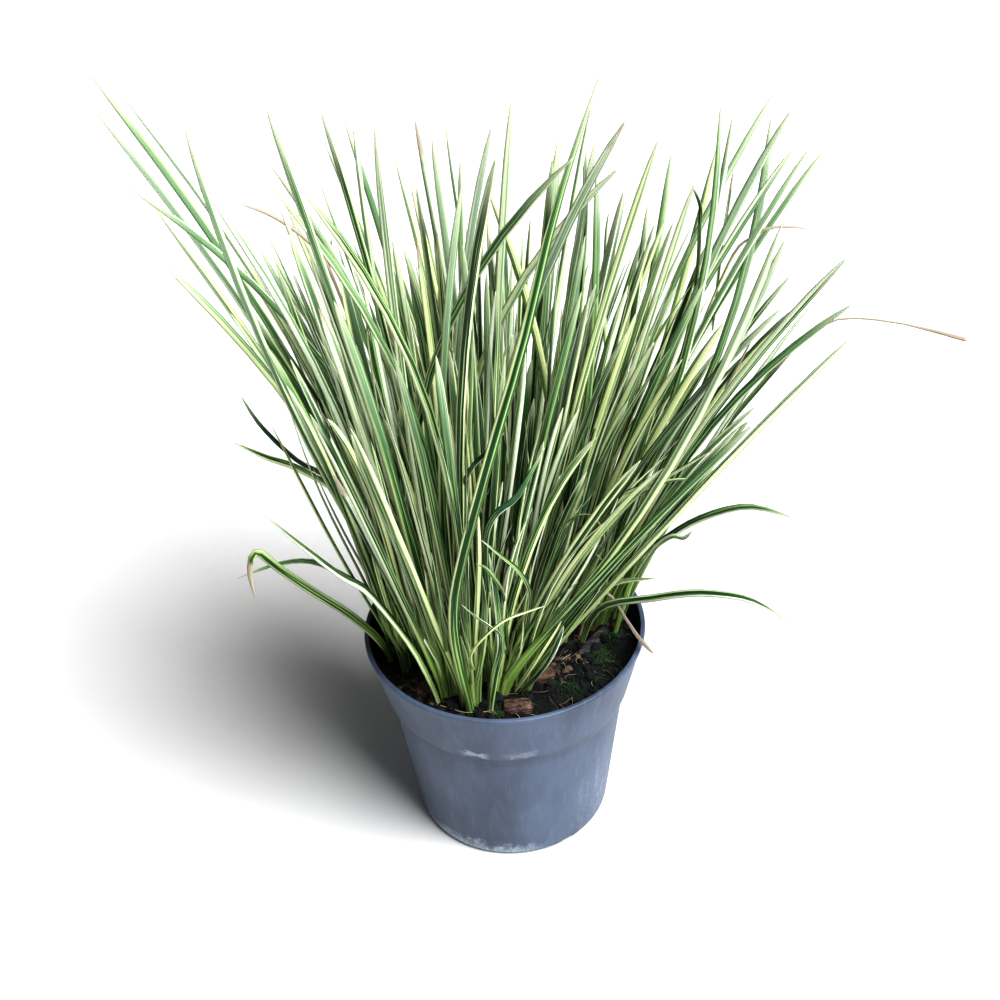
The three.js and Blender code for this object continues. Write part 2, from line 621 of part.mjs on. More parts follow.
// A smooth course through its points: uniform Catmull-Rom.
function coursePoint(points, at) {
  const i = Math.min(Math.floor(at), points.length - 2);
  const t = at - i;
  const p = [-1, 0, 1, 2].map((k) => points[THREE.MathUtils.clamp(i + k, 0, points.length - 1)]);
  const value = [0, 1, 2].map((axis) => {
    const [a, b, c, d] = p.map((point) => point[axis]);
    const cubic = (3 * b - a - 3 * c + d) * t ** 3;
    return 0.5 * (2 * b + (c - a) * t + (2 * a - 5 * b + 4 * c - d) * t * t + cubic);
  });
  return new THREE.Vector3(...value);
}

function placeLone([name, x, y, width, course]) {
  const points = [[x, y, SOIL_LEVEL - SEAT_DEPTH], [x, y, SOIL_LEVEL + 4], ...course];
  const steps = 2 * course.length - 1;
  const lines = [[], [], []];
  for (let k = 0; k <= steps + 2; k += 1) {
    const at = k < 2 ? k : 1 + (k - 1) / 2;
    const centre = coursePoint(points, Math.min(at, points.length - 1));
    const ahead = coursePoint(points, Math.min(at + 0.1, points.length - 1));
    const behind = coursePoint(points, Math.max(at - 0.1, 0));
    const tangent = ahead.sub(behind).normalize();
    const side = FACING.clone().cross(tangent).normalize();
    const t = at / (points.length - 1);
    const rising = Math.min(1, 0.42 + 1.6 * t);
    const half = (width / 2) * rising * (t < 0.55 ? 1 : 1 - ((t - 0.55) / 0.45) ** 1.7);
    lines[0].push(centre.clone().addScaledVector(side, half));
    lines[1].push(centre);
    lines[2].push(centre.clone().addScaledVector(side, -half));
  }
  return { name, x, y, width, lines: boxed(lines) };
}

function loneGeometry(lone) {
  const points = [];
  const faces = [];
  const add = (p) => points.push([p.x, p.y, p.z]) - 1;
  const count = lone.lines[1].length;
  let ring = null;
  for (let k = 0; k + 1 < count; k += 1) {
    const [left, centre, right] = lone.lines.map((line) => line[k]);
    const along = lone.lines[1][k + 1].clone().sub(lone.lines[1][Math.max(0, k - 1)]);
    const ridge = along.cross(right.clone().sub(left)).normalize();
    const thin = LEAF_THICK * (1 - (0.35 * k) / count);
    const next = [
      add(left.clone().addScaledVector(ridge, -thin / 3)),
      add(right.clone().addScaledVector(ridge, -thin / 3)),
      add(centre.clone().addScaledVector(ridge, (2 * thin) / 3)),
    ];
    if (ring) {
      for (let i = 0; i < 3; i += 1) {
        const after = (i + 1) % 3;
        faces.push([ring[i], ring[after], next[after]], [ring[i], next[after], next[i]]);
      }
    } else {
      faces.push([next[0], next[2], next[1]]);
    }
    ring = next;
  }
  const tip = add(lone.lines[1][count - 1]);
  for (let i = 0; i < 3; i += 1) faces.push([ring[i], ring[(i + 1) % 3], tip]);
  return geometryOf(points, faces);
}

function loneSeat(lone) {
  const reach = 0.3 * lone.width + 0.6;
  const level = { x: lone.x, y: lone.y, half: reach, side: reach };
  return block(
    { ...level, z: SOIL_LEVEL - SEAT_DEPTH - SEAT_GAP },
    { ...level, z: SOIL_LEVEL + 6 },
    new THREE.Vector3(1, 0, 0),
  );
}

// A broken lump with chipped corners, sunk a little way into the soil.
function litterSize([, x, y, length, width, height, turn]) {
  const angle = THREE.MathUtils.degToRad(turn);
  const across = new THREE.Vector3(Math.cos(angle), Math.sin(angle), 0);
  const base = soilHeight(x, y) - 0.35 * height;
  return { x, y, length, width, height, across, base };
}

function litterGeometry(row, number) {
  const { x, y, length, width, height, across, base } = litterSize(row);
  const next = numbers(900 + number);
  const points = [];
  const faces = [];
  const along = new THREE.Vector3(-across.y, across.x, 0);
  const rings = [[0, 0.86], [0.45, 1], [0.85, 0.84], [1, 0.5]];
  const sides = 7;
  for (const [rise, share] of rings) {
    for (let i = 0; i < sides; i += 1) {
      const angle = (2 * Math.PI * i) / sides;
      const reach = share * (0.84 + 0.16 * next());
      const a = (Math.sign(Math.cos(angle)) * Math.abs(Math.cos(angle)) ** 0.6 * reach * length) / 2;
      const b = (Math.sign(Math.sin(angle)) * Math.abs(Math.sin(angle)) ** 0.6 * reach * width) / 2;
      const z = base + height * Math.min(1, rise + (rise > 0.5 ? 0.14 * (next() - 0.5) : 0));
      points.push([x + a * across.x + b * along.x, y + a * across.y + b * along.y, z]);
    }
  }
  const top = points.length;
  points.push([x, y, base + height * 0.98], [x, y, base]);
  for (let i = 0; i < sides; i += 1) {
    const after = (i + 1) % sides;
    faces.push([top + 1, after, i]);
    for (let ring = 0; ring + 1 < rings.length; ring += 1) {
      const low = ring * sides;
      const high = low + sides;
      faces.push([low + i, low + after, high + after], [low + i, high + after, high + i]);
    }
    faces.push([top - sides + i, top - sides + after, top]);
  }
  return geometryOf(points, faces);
}

function litterSeat(row) {
  const { x, y, length, width, across, base } = litterSize(row);
  const level = { x, y, half: length / 2 + SEAT_GAP, side: width / 2 + SEAT_GAP };
  return block({ ...level, z: base - SEAT_GAP }, { ...level, z: SOIL_LEVEL + 8 }, across);
}

const group = new THREE.Group();

function addPiece(name, geometry, color, roughness) {
  geometry.computeVertexNormals();
  const piece = new THREE.Mesh(geometry, new THREE.MeshStandardMaterial({ color, roughness, metalness: 0 }));
  piece.name = name;
  group.add(piece);
}

const lones = [...LONE_LEAVES, DEAD_LEAF].map(placeLone);
const fans = LEAF_FANS.map(fanFrame);
const standing = lones.map((lone) => lone.lines);
OUTER_LEAVES.forEach((row, i) => standing.push(placeOuterLeaf(row, i + 1, fans)));
fans.forEach((fan, i) => standing.push(...fillFan(fan, i + 1, standing)));

addPiece("pot", makePot(), 0x5a6472, 0.55);
addPiece("soil", makeSoil([
  ...fans.map(fanSeat),
  ...lones.map(loneSeat),
  ...LITTER.map(litterSeat),
]), 0x241d18, 0.95);
const greens = [0x5f8a4e, 0x6f9a58, 0x4f7c48, 0x88aa62];
fans.forEach((fan, i) => {
  addPiece(`leaf_fan_${String(i + 1).padStart(2, "0")}`, fanGeometry(fan), greens[i % greens.length], 0.5);
});
lones.forEach((lone) => {
  const dead = lone.name === "dead_leaf_on_rim";
  addPiece(lone.name, loneGeometry(lone), dead ? 0xb8a48c : 0x6a9a5c, dead ? 0.8 : 0.5);
});
LITTER.forEach((row, i) => addPiece(row[0], litterGeometry(row, i), row[7], 0.9));

export default group;
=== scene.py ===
"""A potted variegated sweet flag: a slate plastic nursery pot, dark soil with bark, moss and roots, and
a clump of striped sword leaves in flat fans. Lengths are in millimetres until a mesh is made, and in
metres from there on."""

import math

import bpy
import numpy as np
from mathutils import Matrix


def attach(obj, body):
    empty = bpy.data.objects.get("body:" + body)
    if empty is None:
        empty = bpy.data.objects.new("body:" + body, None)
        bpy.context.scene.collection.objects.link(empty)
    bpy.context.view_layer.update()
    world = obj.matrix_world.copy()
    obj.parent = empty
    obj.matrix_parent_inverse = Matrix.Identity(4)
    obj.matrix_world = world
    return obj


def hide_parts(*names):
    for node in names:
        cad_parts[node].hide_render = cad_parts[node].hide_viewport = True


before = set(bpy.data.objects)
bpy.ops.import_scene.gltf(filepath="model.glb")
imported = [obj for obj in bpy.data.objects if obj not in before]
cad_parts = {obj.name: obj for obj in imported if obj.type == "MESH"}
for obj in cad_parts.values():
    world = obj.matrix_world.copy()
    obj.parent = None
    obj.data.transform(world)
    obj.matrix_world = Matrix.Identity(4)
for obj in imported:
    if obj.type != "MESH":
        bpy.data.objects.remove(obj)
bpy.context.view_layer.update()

MILLIMETRE = 0.001
UP = np.array([0.0, 0.0, 1.0])

# Pot
POT_HEIGHT = 140.0
RIM_OUTER_RADIUS = 85.0
LIP_WIDTH = 3.0
LIP_HEIGHT = 3.2
STEP_LEVEL = 97.0
COLLAR_LOW_RADIUS = 74.8
STEP_DEPTH = 2.8
STEP_HEIGHT = 1.8
BASE_RADIUS = 60.0
BASE_CORNER = 6.0
WALL = 1.7
POT_SEGMENTS = 192
ARC_POINTS = 6
DRAIN_HOLE_RADIUS = 4.5
DRAIN_HOLE_COUNT = 6
DRAIN_CIRCLE_RADIUS = 40.0
NOTCH_WIDTH = 9.0
NOTCH_HEIGHT = 4.0
NOTCH_DIRECTIONS_DEG = [-58, 32, 122, 212]

# A point of the middle line of the collar's wall, and how far the line leans out for each step up.
COLLAR_MIDDLE_RADIUS = 74.2
COLLAR_MIDDLE_LEVEL = 100.6
COLLAR_SLOPE = 0.27

# Soil
SOIL_LEVEL = 128.0
SOIL_GAP = 0.35
SOIL_SEGMENTS = 220
SOIL_RINGS = 96

# Loose bits on the soil. Heaps of litter: x, y, number of bits. Moss cushions: x, y, reach, leaflets.
# The long root: x, y, heading in radians, length, radius, lift.
LOOSE_SEED = 71
LITTER_SEED = 72
FINE_CRUMBS = 2600
FINE_REACH = 76.5
COARSE_CRUMBS = 220
COARSE_REACH = 73.0
FIBRES = 130
FIBRE_REACH = 74.0
THREAD_REACH = 76.0
LONG_ROOT = np.array([-46.0, -52.0, -0.45, 38.0, 0.4, 1.0])[:, None]
LITTER_HEAPS = [(-50.0, -38.0, 70), (34.0, -30.0, 40), (58.0, 4.0, 20)]
LITTER_SPREAD = 8.0
LITTER_REACH = 72.0
MOSS_REACH = 75.0
MOSS_CUSHIONS = [
    (56, -21, 9, 900), (66, -5, 5, 300), (-7, -65, 5, 260), (-52, -32, 7, 160), (36, -48, 7, 160),
]

# Leaf fans
SEAT_DEPTH = 8.0
SHEATH_HEIGHT = 14.0
CELL_WIDTH = 1.7
NEIGHBOUR_GAP = 2.5
LOW_NEIGHBOUR_GAP = 3.0
OWN_FAN_GAP = 0.5
TRIES = 28
STUB_SHARE = 0.09
SOLID_FULL_TO = 0.55
OUTER_SEED = 500
SHEATH_TOP = SOIL_LEVEL + SHEATH_HEIGHT
SHEATH_FOOT = SOIL_LEVEL - SEAT_DEPTH

# Each fan: base x, y; tip x, y, z of its middle leaf; arch; leaves; degrees between leaves;
# direction of the fan's plane in degrees from X; leaf width.
LEAF_FANS = [
    [-22, -57, -42, -70, 446, 0.05, 6, 4, 8, 6.6],
    [-34, -48, -68, -64, 450, 0.06, 6, 4, 24, 6.4],
    [-8, -50, 74, -74, 350, 0.1, 6, 5, -6, 6.4],
    [6, -45, 104, -62, 330, 0.12, 6, 4.4, -14, 6],
    [-45, -24, -88, -44, 444, 0.07, 6, 3.8, 34, 6],
    [-16, -38, -14, -45, 454, 0.04, 7, 4, -10, 6.2],
    [-58, -21, -98, -30, 456, 0.07, 6, 3.2, 46, 6],
    [-31, -31, -46, -38, 456, 0.05, 6, 4, 26, 6],
    [-7, -27, 24, -36, 452, 0.05, 6, 4, 6, 6.2],
    [8, -28, 78, -46, 418, 0.08, 6, 4.2, -18, 6],
    [-64, -7, -136, -6, 484, 0.07, 7, 2.8, 50, 5.8],
    [-46, -9, -100, -10, 466, 0.06, 6, 3.8, 30, 5.8],
    [-27, -9, -46, -10, 466, 0.04, 6, 4, -18, 6],
    [-9, -9, -4, -10, 462, 0.03, 6, 4, 14, 6],
    [9, -8, 40, -15, 452, 0.05, 6, 4.2, -26, 6],
    [27, -6, 106, -30, 437, 0.08, 6, 4.4, -12, 6],
    [-58, 9, -144, 16, 462, 0.08, 6, 3, 46, 5.8],
    [-38, 8, -76, 10, 470, 0.05, 6, 4, 34, 5.8],
    [-19, 9, -30, 10, 462, 0.04, 6, 4, -24, 5.8],
    [0, 9, 20, 10, 476, 0.03, 6, 4, 22, 6],
    [19, 10, 54, 20, 486, 0.06, 6, 3.8, -10, 6.6],
    [36, 8, 122, 0, 470, 0.07, 6, 4, -22, 6],
    [53, 6, 178, -30, 414, 0.12, 7, 3.4, -20, 6],
    [-50, 25, -122, 50, 432, 0.08, 7, 3.4, 44, 5.6],
    [-30, 25, -98, 52, 412, 0.06, 6, 4, -28, 5.6],
    [-12, 26, -32, 50, 442, 0.05, 6, 4.2, 38, 5.6],
    [7, 26, 8, 50, 442, 0.04, 6, 4.2, -32, 5.8],
    [26, 25, 82, 50, 444, 0.06, 6, 4, -6, 5.8],
    [44, 24, 138, 50, 444, 0.07, 6, 4, -24, 5.8],
    [66, 12, 176, -28, 396, 0.12, 6, 3, -20, 5.8],
    [-59, 33, -176, 80, 420, 0.09, 6, 3.4, -48, 5.6],
    [-38, 42, -112, 108, 432, 0.07, 6, 4, 30, 5.6],
    [-20, 42, -70, 108, 420, 0.06, 6, 4.2, -18, 5.6],
    [-2, 43, -22, 108, 416, 0.06, 6, 4.2, 24, 5.6],
    [16, 42, 40, 108, 376, 0.06, 6, 4.4, -34, 5.6],
    [34, 41, 106, 108, 396, 0.08, 7, 4.2, -28, 5.6],
    [50, 40, 160, 84, 434, 0.08, 6, 4, -30, 5.6],
    [-28, 58, -116, 166, 356, 0.1, 6, 4.4, 32, 5.6],
    [-9, 59, -46, 166, 376, 0.1, 6, 4.4, -14, 5.6],
    [10, 59, 28, 166, 360, 0.1, 6, 4.4, 26, 5.6],
    [29, 57, 102, 162, 342, 0.1, 6, 4.4, -30, 5.6],
    [64, 29, 176, 50, 430, 0.08, 7, 3.6, -10, 5.6],
]

# Leaves that stand out of the clump: fan; place in it, counted from 0 at its left; tip x, y, z; arch.
OUTER_LEAVES = [
    [1, 1, -76, -118, 497, 0.26], [1, 4, 9, -106, 503, 0.24],
    [2, 4, -46, -52, 496, -0.16], [2, 5, -7, -40, 459, 0.22],
    [3, 1, 71, -62, 498, 0.22], [3, 3, 141, -86, 452, -0.1],
    [3, 5, 131, -86, 337, 0.02], [4, 2, 145, -74, 436, -0.06],
    [4, 4, 126, -74, 328, 0.02], [4, 5, 180, -74, 377, 0.02],
    [5, 5, 46, -68, 483, 0.26], [7, 1, -127, -54, 465, 0.14],
    [8, 0, -97, -62, 473, 0.26], [8, 1, -94, -62, 513, 0.02],
    [9, 2, 19, -24, 493, 0.1], [10, 5, 146, -70, 397, 0.08],
    [12, 1, -139, -22, 487, -0.08], [13, 0, -103, 14, 422, 0],
    [13, 5, 9, -22, 479, 0.24], [15, 5, 87, -51, 481, 0.04],
    [16, 0, 59, -18, 447, -0.16], [17, 0, -164, -8, 406, 0.12],
    [18, 1, -102, -14, 463, 0.22], [18, 3, -76, 10, 477, 0.1],
    [19, 5, 71, -26, 454, 0.26], [20, 0, -21, -14, 473, -0.02],
    [20, 5, 61, 34, 459, 0.02], [22, 0, 5, -12, 440, 0.26],
    [22, 2, 111, 0, 430, 0.02], [22, 3, 121, -12, 478, -0.16],
    [23, 4, 183, -42, 405, 0.08], [24, 0, -177, 2, 445, 0.22],
    [24, 6, -65, 74, 437, -0.08], [26, 1, -41, 26, 383, 0.1],
    [26, 3, -31, 50, 451, 0.16], [27, 1, -15, 62, 440, 0.04],
    [27, 4, 40, 26, 436, 0.02], [29, 1, 93, 62, 388, -0.08],
    [29, 3, 155, 38, 446, -0.16], [29, 4, 166, 26, 433, 0.1],
    [29, 5, 174, 26, 432, 0.06], [30, 0, 156, -16, 475, 0.1],
    [30, 4, 188, -40, 376, 0.16], [31, 0, -210, 116, 435, 0.1],
    [31, 2, -206, 104, 461, 0.1], [31, 3, -178, 68, 399, 0.06],
    [31, 5, -180, 44, 477, 0.1], [32, 4, -73, 120, 419, 0.24],
    [33, 3, -46, 108, 402, 0.24], [35, 3, 62, 108, 403, -0.16],
    [37, 0, 110, 96, 399, -0.06], [37, 2, 134, 84, 407, -0.04],
    [37, 3, 165, 84, 438, 0.12], [37, 4, 189, 60, 414, 0.08],
    [38, 2, -116, 154, 352, -0.04], [38, 4, -93, 202, 368, 0.22],
    [42, 1, 137, 50, 442, -0.08],
]

# The flat faces of the leaves with a course of their own look towards the front and up.
FACING = np.array([0.0, -0.8, 0.6])

# Leaves with a course of their own: name, base x, y, width, then points along the leaf.
LONE_LEAVES = [
    ["dry_tip_leaf_left", -70, -15, 5.4, [[-76, -24, 157], [-90, -36, 187], [-107, -46, 213],
        [-122, -54, 237], [-132, -58, 252], [-137, -60, 240], [-136, -61, 221]]],
    ["low_leaf_left", -42, -53, 4.2, [[-53, -54, 172], [-73, -55, 214], [-88, -56, 230], [-105, -57, 251],
        [-126, -53, 274]]],
    ["drooping_leaf_left", -71, 3, 3.8, [[-75, -8, 173], [-91, -13, 195], [-108, -19, 212],
        [-127, -27, 218], [-149, -34, 215]]],
    ["blue_leaf_left", -62, 46, 3.6, [[-79, 49, 172], [-100, 52, 217], [-118, 54, 232], [-136, 54, 258],
        [-145, 52, 282]]],
    ["cream_leaf_left", -70, 20, 4.4, [[-76, 18, 180], [-89, 14, 231], [-111, 7, 259], [-128, 1, 273],
        [-144, -3, 287]]],
    ["bent_leaf_front", -11, -64, 5, [[-7, -66, 160], [-3, -68, 180], [-3, -72, 205], [-4, -75, 229],
        [-6, -78, 258]]],
    ["broad_leaf_front", -23, -63, 7, [[-27, -67, 172], [-28, -71, 206], [-23, -75, 242], [-6, -77, 307],
        [17, -72, 382], [36, -61, 449], [60, -50, 515]]],
    ["arched_leaf_right", 67, -4, 4.8, [[81, -6, 187], [94, -12, 206], [114, -24, 230], [138, -39, 248],
        [161, -54, 250]]],
    ["long_leaf_right", 47, -9, 5, [[58, -16, 162], [87, -27, 176], [113, -38, 187], [140, -48, 188],
        [161, -56, 177]]],
    ["short_leaf_right", 36, -8, 4, [[46, -11, 164], [57, -14, 174], [70, -21, 185], [89, -32, 195]]],
    ["thread_leaf_right", 55, 51, 3.2, [[84, 34, 180], [115, 26, 228], [147, 15, 285], [179, 0, 337],
        [209, -14, 348], [249, -44, 351]]],
    ["dead_leaf_on_rim", 46, -2, 3.4, [[54, -3, 158], [63, -7, 164], [72, -17, 153], [79, -30, 148],
        [86, -42, 146]]],
]

# Where each single leaf turns dry along its length, how blue its green is, and which stripes it has.
LONE_LOOKS = {
    "dry_tip_leaf_left": (0.82, 0.35, 0.9412),
    "low_leaf_left": (1.1, 0.3, 0.0589),
    "drooping_leaf_left": (0.97, 0.9, 0.8909),
    "blue_leaf_left": (1.1, 0.95, 0.6471),
    "cream_leaf_left": (0.98, 0.5, 0.5356),
    "bent_leaf_front": (1.1, 0.85, 0.5381),
    "broad_leaf_front": (1.1, 0.84, 0.7142),
    "arched_leaf_right": (0.97, 0.9, 0.2399),
    "long_leaf_right": (0.95, 0.6, 0.5884),
    "short_leaf_right": (1.1, 0.5, 0.7648),
    "thread_leaf_right": (0.62, 0.6, 0.4118),
    "dead_leaf_on_rim": (0.0, 0.0, 0.2),
}

BARK_RINGS = 16
BARK_SEGMENTS = 40
BARK_CHIP_SEED = 60
BARK_ROUGH_SEED = 80

# Bark in the soil: name, x, y, length, width, height, turn in degrees.
BARK = [
    ["bark_stick", 53, -12, 33, 7, 7, 54],
    ["bark_lump_middle", 21, -36, 15, 12, 9, 20],
    ["bark_lump_front", 5, -63, 18, 10, 8, -6],
    ["bark_chip", -48, -41, 13, 10, 4, 34],
]

# Thin leaves that stray between the fans: width, where it turns dry along its length, how blue its
# green is, then points along it.
STRAY_LEAVES = [
    [2.6, 1.2, 0.3, [[8, -42, 138], [11, -54, 175], [14, -62, 201], [15, -70, 222], [10, -78, 243],
        [0, -82, 259], [-10, -84, 272]]],
    [2.0, 1.2, 0.2, [[1, -44, 140], [1, -56, 178], [1, -66, 206], [0, -74, 227], [-5, -79, 243],
        [-9, -80, 250], [-13, -80, 252]]],
    [1.8, 1.2, 0.4, [[-16, -46, 136], [-19, -58, 156], [-20, -70, 178], [-14, -76, 194], [-1, -78, 209],
        [12, -76, 213], [23, -74, 215]]],
    [1.4, 1.2, 0.4, [[2, -40, 145], [-1, -58, 172], [-3, -72, 195], [-8, -78, 206], [-15, -80, 215],
        [-23, -82, 227]]],
    [3.8, 1.2, 0.9, [[-6, -36, 138], [-7, -46, 170], [-9, -56, 214], [-8, -62, 249], [-5, -66, 267],
        [1, -68, 278], [10, -66, 284], [20, -60, 298], [27, -56, 309]]],
    [3.0, 1.2, 0.5, [[65, 2, 140], [77, -4, 170], [89, -16, 204], [98, -26, 220], [104, -33, 224],
        [108, -37, 232]]],
    [3.2, 1.2, 0.2, [[45, -14, 147], [51, -16, 160], [59, -20, 175]]],
    [2.2, 1.2, 0.3, [[22, -4, 160], [34, -18, 203], [51, -34, 242], [67, -44, 265], [88, -56, 283],
        [102, -64, 298], [114, -70, 311]]],
    [2.4, 1.2, 0.35, [[32, -2, 136], [39, -14, 169], [51, -30, 218], [67, -44, 256], [80, -52, 273],
        [93, -60, 285], [107, -66, 289]]],
    [2.0, 0.05, 0.3, [[-74, 30, 335], [-83, 34, 371], [-91, 36, 386], [-103, 38, 398], [-114, 40, 405],
        [-127, 42, 410]]],
    [1.5, 0.3, 0.2, [[120, 40, 315], [129, 34, 346], [138, 30, 371], [146, 28, 379], [154, 26, 385],
        [167, 24, 386], [175, 22, 385]]],
    [1.6, 0.2, 0.3, [[112, 10, 254], [124, 0, 291], [128, -4, 302], [135, -10, 323], [142, -16, 346]]],
    [2.8, 1.2, 0.3, [[-78, 40, 296], [-84, 46, 326], [-86, 50, 350], [-85, 54, 365], [-82, 58, 378]]],
    [2.4, 1.2, 0.3, [[67, 40, 299], [67, 46, 335], [69, 50, 371], [71, 52, 387]]],
    [1.6, 0.8, 0.3, [[129, 50, 308], [133, 52, 359], [136, 54, 383], [139, 56, 406]]],
    [2.2, 1.2, 0.3, [[116, 50, 309], [120, 52, 347], [121, 54, 374], [121, 54, 386], [116, 54, 399]]],
    [3.6, 1.2, 0.6, [[-53, -30, 158], [-60, -46, 231], [-66, -58, 283], [-73, -66, 318], [-79, -70, 337],
        [-83, -72, 346]]],
    [0.9, 0.5, 0.3, [[33, -52, 251], [42, -54, 260], [50, -55, 261], [56, -56, 253], [57, -56, 244],
        [53, -55, 238]]],
    [0.8, 0.2, 0.3, [[51, -50, 232], [55, -51, 228], [58, -51, 222], [61, -51, 224]]],
    [2.8, 1.2, 0.2, [[3, -51, 130], [14, -56, 154], [24, -60, 176], [32, -64, 195]]],
    [3.4, 1.2, 0.95, [[6, -52, 130], [16, -56, 146], [25, -60, 164], [30, -63, 180], [33, -66, 193]]],
    [2.6, 1.2, 0.2, [[-13, -30, 215], [-19, -52, 274], [-13, -62, 301], [-4, -68, 316], [6, -72, 331]]],
]


def unit(vectors):
    """Vectors scaled to length one along their last axis."""
    return vectors / np.maximum(np.linalg.norm(vectors, axis=-1, keepdims=True), 1e-12)


def dot(a, b):
    """Dot products along the last axis, which is kept."""
    return np.sum(a * b, axis=-1, keepdims=True)


def ease(value, low, high):
    """0 below low, 1 above high, and 3t² − 2t³ between."""
    t = np.clip((value - low) / (high - low), 0.0, 1.0)
    return t * t * (3.0 - 2.0 * t)


def tapered(t, full_to, blunt):
    """The share of its width that a leaf has at t of its length: 1 up to full_to, and beyond it
    1 − ((t − full_to) / (1 − full_to)) to the power blunt."""
    return 1.0 - np.maximum((t - full_to) / (1.0 - full_to), 0.0) ** blunt


def front_sides(spine):
    """Side directions of leaves whose flat faces look towards the front and up."""
    return unit(np.cross(FACING, unit(np.gradient(spine, axis=1))))


def stacked(*parts):
    """Vectors from their parts, each repeated to the shape that fits them all."""
    return np.stack(np.broadcast_arrays(*parts), axis=-1)


def circle(count):
    """Cosines and sines of angles spread evenly round a circle."""
    theta = np.arange(count) * 2 * math.pi / count
    return np.cos(theta), np.sin(theta)


def turned_about(x, y, turn, a, b):
    """Points (a, b) of a level plane, turned by an angle and moved to (x, y)."""
    return (x + a * math.cos(turn) - b * math.sin(turn),
            y + a * math.sin(turn) + b * math.cos(turn))


def lattice(points, cell, seed):
    """Smooth noise from 0 to 1 at points of shape (..., 3): a random value at each corner of a cubic
    lattice of that cell size, blended between the eight corners by 3t² − 2t³ along each axis."""
    scaled = points / cell
    corner = np.floor(scaled).astype(np.int64)
    t = ease(scaled - corner, 0.0, 1.0)
    total = np.zeros(points.shape[:-1])
    for step in np.ndindex(2, 2, 2):
        at = (corner + np.array(step)) & 0xFFFF
        mixed = at[..., 0] * 73856093 ^ at[..., 1] * 19349663 ^ at[..., 2] * 83492791 ^ seed * 9176867
        mixed = (mixed ^ (mixed >> 13)) & 0xFFFFFFF
        mixed = mixed * 1274126177 & 0xFFFFFFFF
        value = ((mixed ^ (mixed >> 15)) & 0xFFFF) / 65535.0
        share = np.prod(np.where(np.array(step) == 1, t, 1.0 - t), axis=-1)
        total += value * share
    return total


def soil_height(x, y):
    """The soil's broad surface: two slow waves and a finer one, falling a little towards the wall."""
    broad = 1.5 * np.sin(0.085 * x + 1.3) * np.cos(0.1 * y - 0.4)
    fine = 0.8 * np.sin(0.21 * x - 0.17 * y)
    edge = np.maximum(0.0, np.hypot(x, y) - 62.0)
    return SOIL_LEVEL + broad + fine - 0.12 * edge


def crumbly_height(x, y):
    """The broad soil surface with three layers of lattice noise on it, in lumps of 9, 4 and 1.8 mm."""
    at = stacked(x, y, 0.0)
    lumps = 2.6 * (lattice(at, 9.0, 5) - 0.5)
    crumbs = 1.9 * (lattice(at, 4.0, 11) - 0.5)
    grains = 0.9 * (lattice(at, 1.8, 17) - 0.5)
    return soil_height(x, y) + lumps + crumbs + grains


# Meshes

def added(name, data):
    """A new object in the scene."""
    made = bpy.data.objects.new(name, data)
    bpy.context.scene.collection.objects.link(made)
    return made


def ring_faces(strands, rings, around):
    """Faces of closed surfaces that are stacks of rings with a pole under the first and over the last.
    Points come strand by strand: its rings, then its two poles. Quads join each ring to the next."""
    first = np.arange(strands)[:, None, None] * (rings * around + 2)
    low = first + np.arange(rings - 1)[None, :, None] * around
    k = np.arange(around)
    after = (k + 1) % around
    quads = stacked(low + k, low + after, low + after + around, low + k + around)
    first = first[:, 0]
    foot = first + rings * around
    top = first + (rings - 1) * around
    caps = [stacked(foot, first + after, first + k), stacked(top + k, top + after, foot + 1)]
    return [quads.reshape(-1, 4), *[cap.reshape(-1, 3) for cap in caps]]


def surface(name, rings, foot, top, values=None):
    """A mesh object of closed stacks of rings. rings has the shape (strands, rings, around, 3), foot and
    top (strands, 3). values maps a name to the same three arrays of a quantity kept on the points."""
    strands, count, around = rings.shape[:3]

    def listed(ring_values, foot_values, top_values):
        flat = ring_values.reshape(strands, count * around, 3)
        return np.concatenate([flat, foot_values[:, None], top_values[:, None]], axis=1).reshape(-1, 3)

    points = listed(rings, foot, top) * MILLIMETRE
    faces = [face for part in ring_faces(strands, count, around) for face in part.tolist()]
    mesh = bpy.data.meshes.new(name)
    mesh.from_pydata(points.tolist(), [], faces)
    mesh.validate()
    mesh.shade_smooth()
    for key, arrays in (values or {}).items():
        layer = mesh.attributes.new(key, "FLOAT_VECTOR", "POINT")
        layer.data.foreach_set("vector", listed(*arrays).astype(np.float32).ravel())
    return added(name, mesh)


def grained(name, rings, foot, top, chance):
    """A surface of many small pieces, each with three random numbers by which its colour differs."""
    number = chance.random((len(rings), 3))
    grain = np.broadcast_to(number[:, None, None], rings.shape)
    return surface(name, rings, foot, top, {"grain": (grain, number, number)})


def finish_piece(made, material, slot, *nodes):
    """Gives a piece its material, puts it in place of its nodes, and fixes it to the body. slot is not used.
    """
    made.data.materials.append(material)
    if nodes:
        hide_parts(*nodes)
    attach(made, "root")


# Six points round a blade's section, as shares of half its width and half its thickness, and four
# points round a thread's section, as shares of its radius.
BLADE_ACROSS = np.array([1.0, 0.45, -0.45, -1.0, -0.45, 0.45])
BLADE_THROUGH = np.array([0.0, 0.9, 0.9, 0.0, -0.9, -0.9])
THREAD_ACROSS = np.array([1.0, 0.0, -1.0, 0.0])
THREAD_THROUGH = np.array([0.0, -1.0, 0.0, 1.0])
THREAD_STATIONS = 14


def sections(spine, side, face, across, through):
    """Rings round spines: point = spine + side · across + face · through. The first three have the shape
    (strands, stations, 3), the last two (strands, stations, around)."""
    return spine[:, :, None] + side[:, :, None] * across[..., None] + face[:, :, None] * through[..., None]


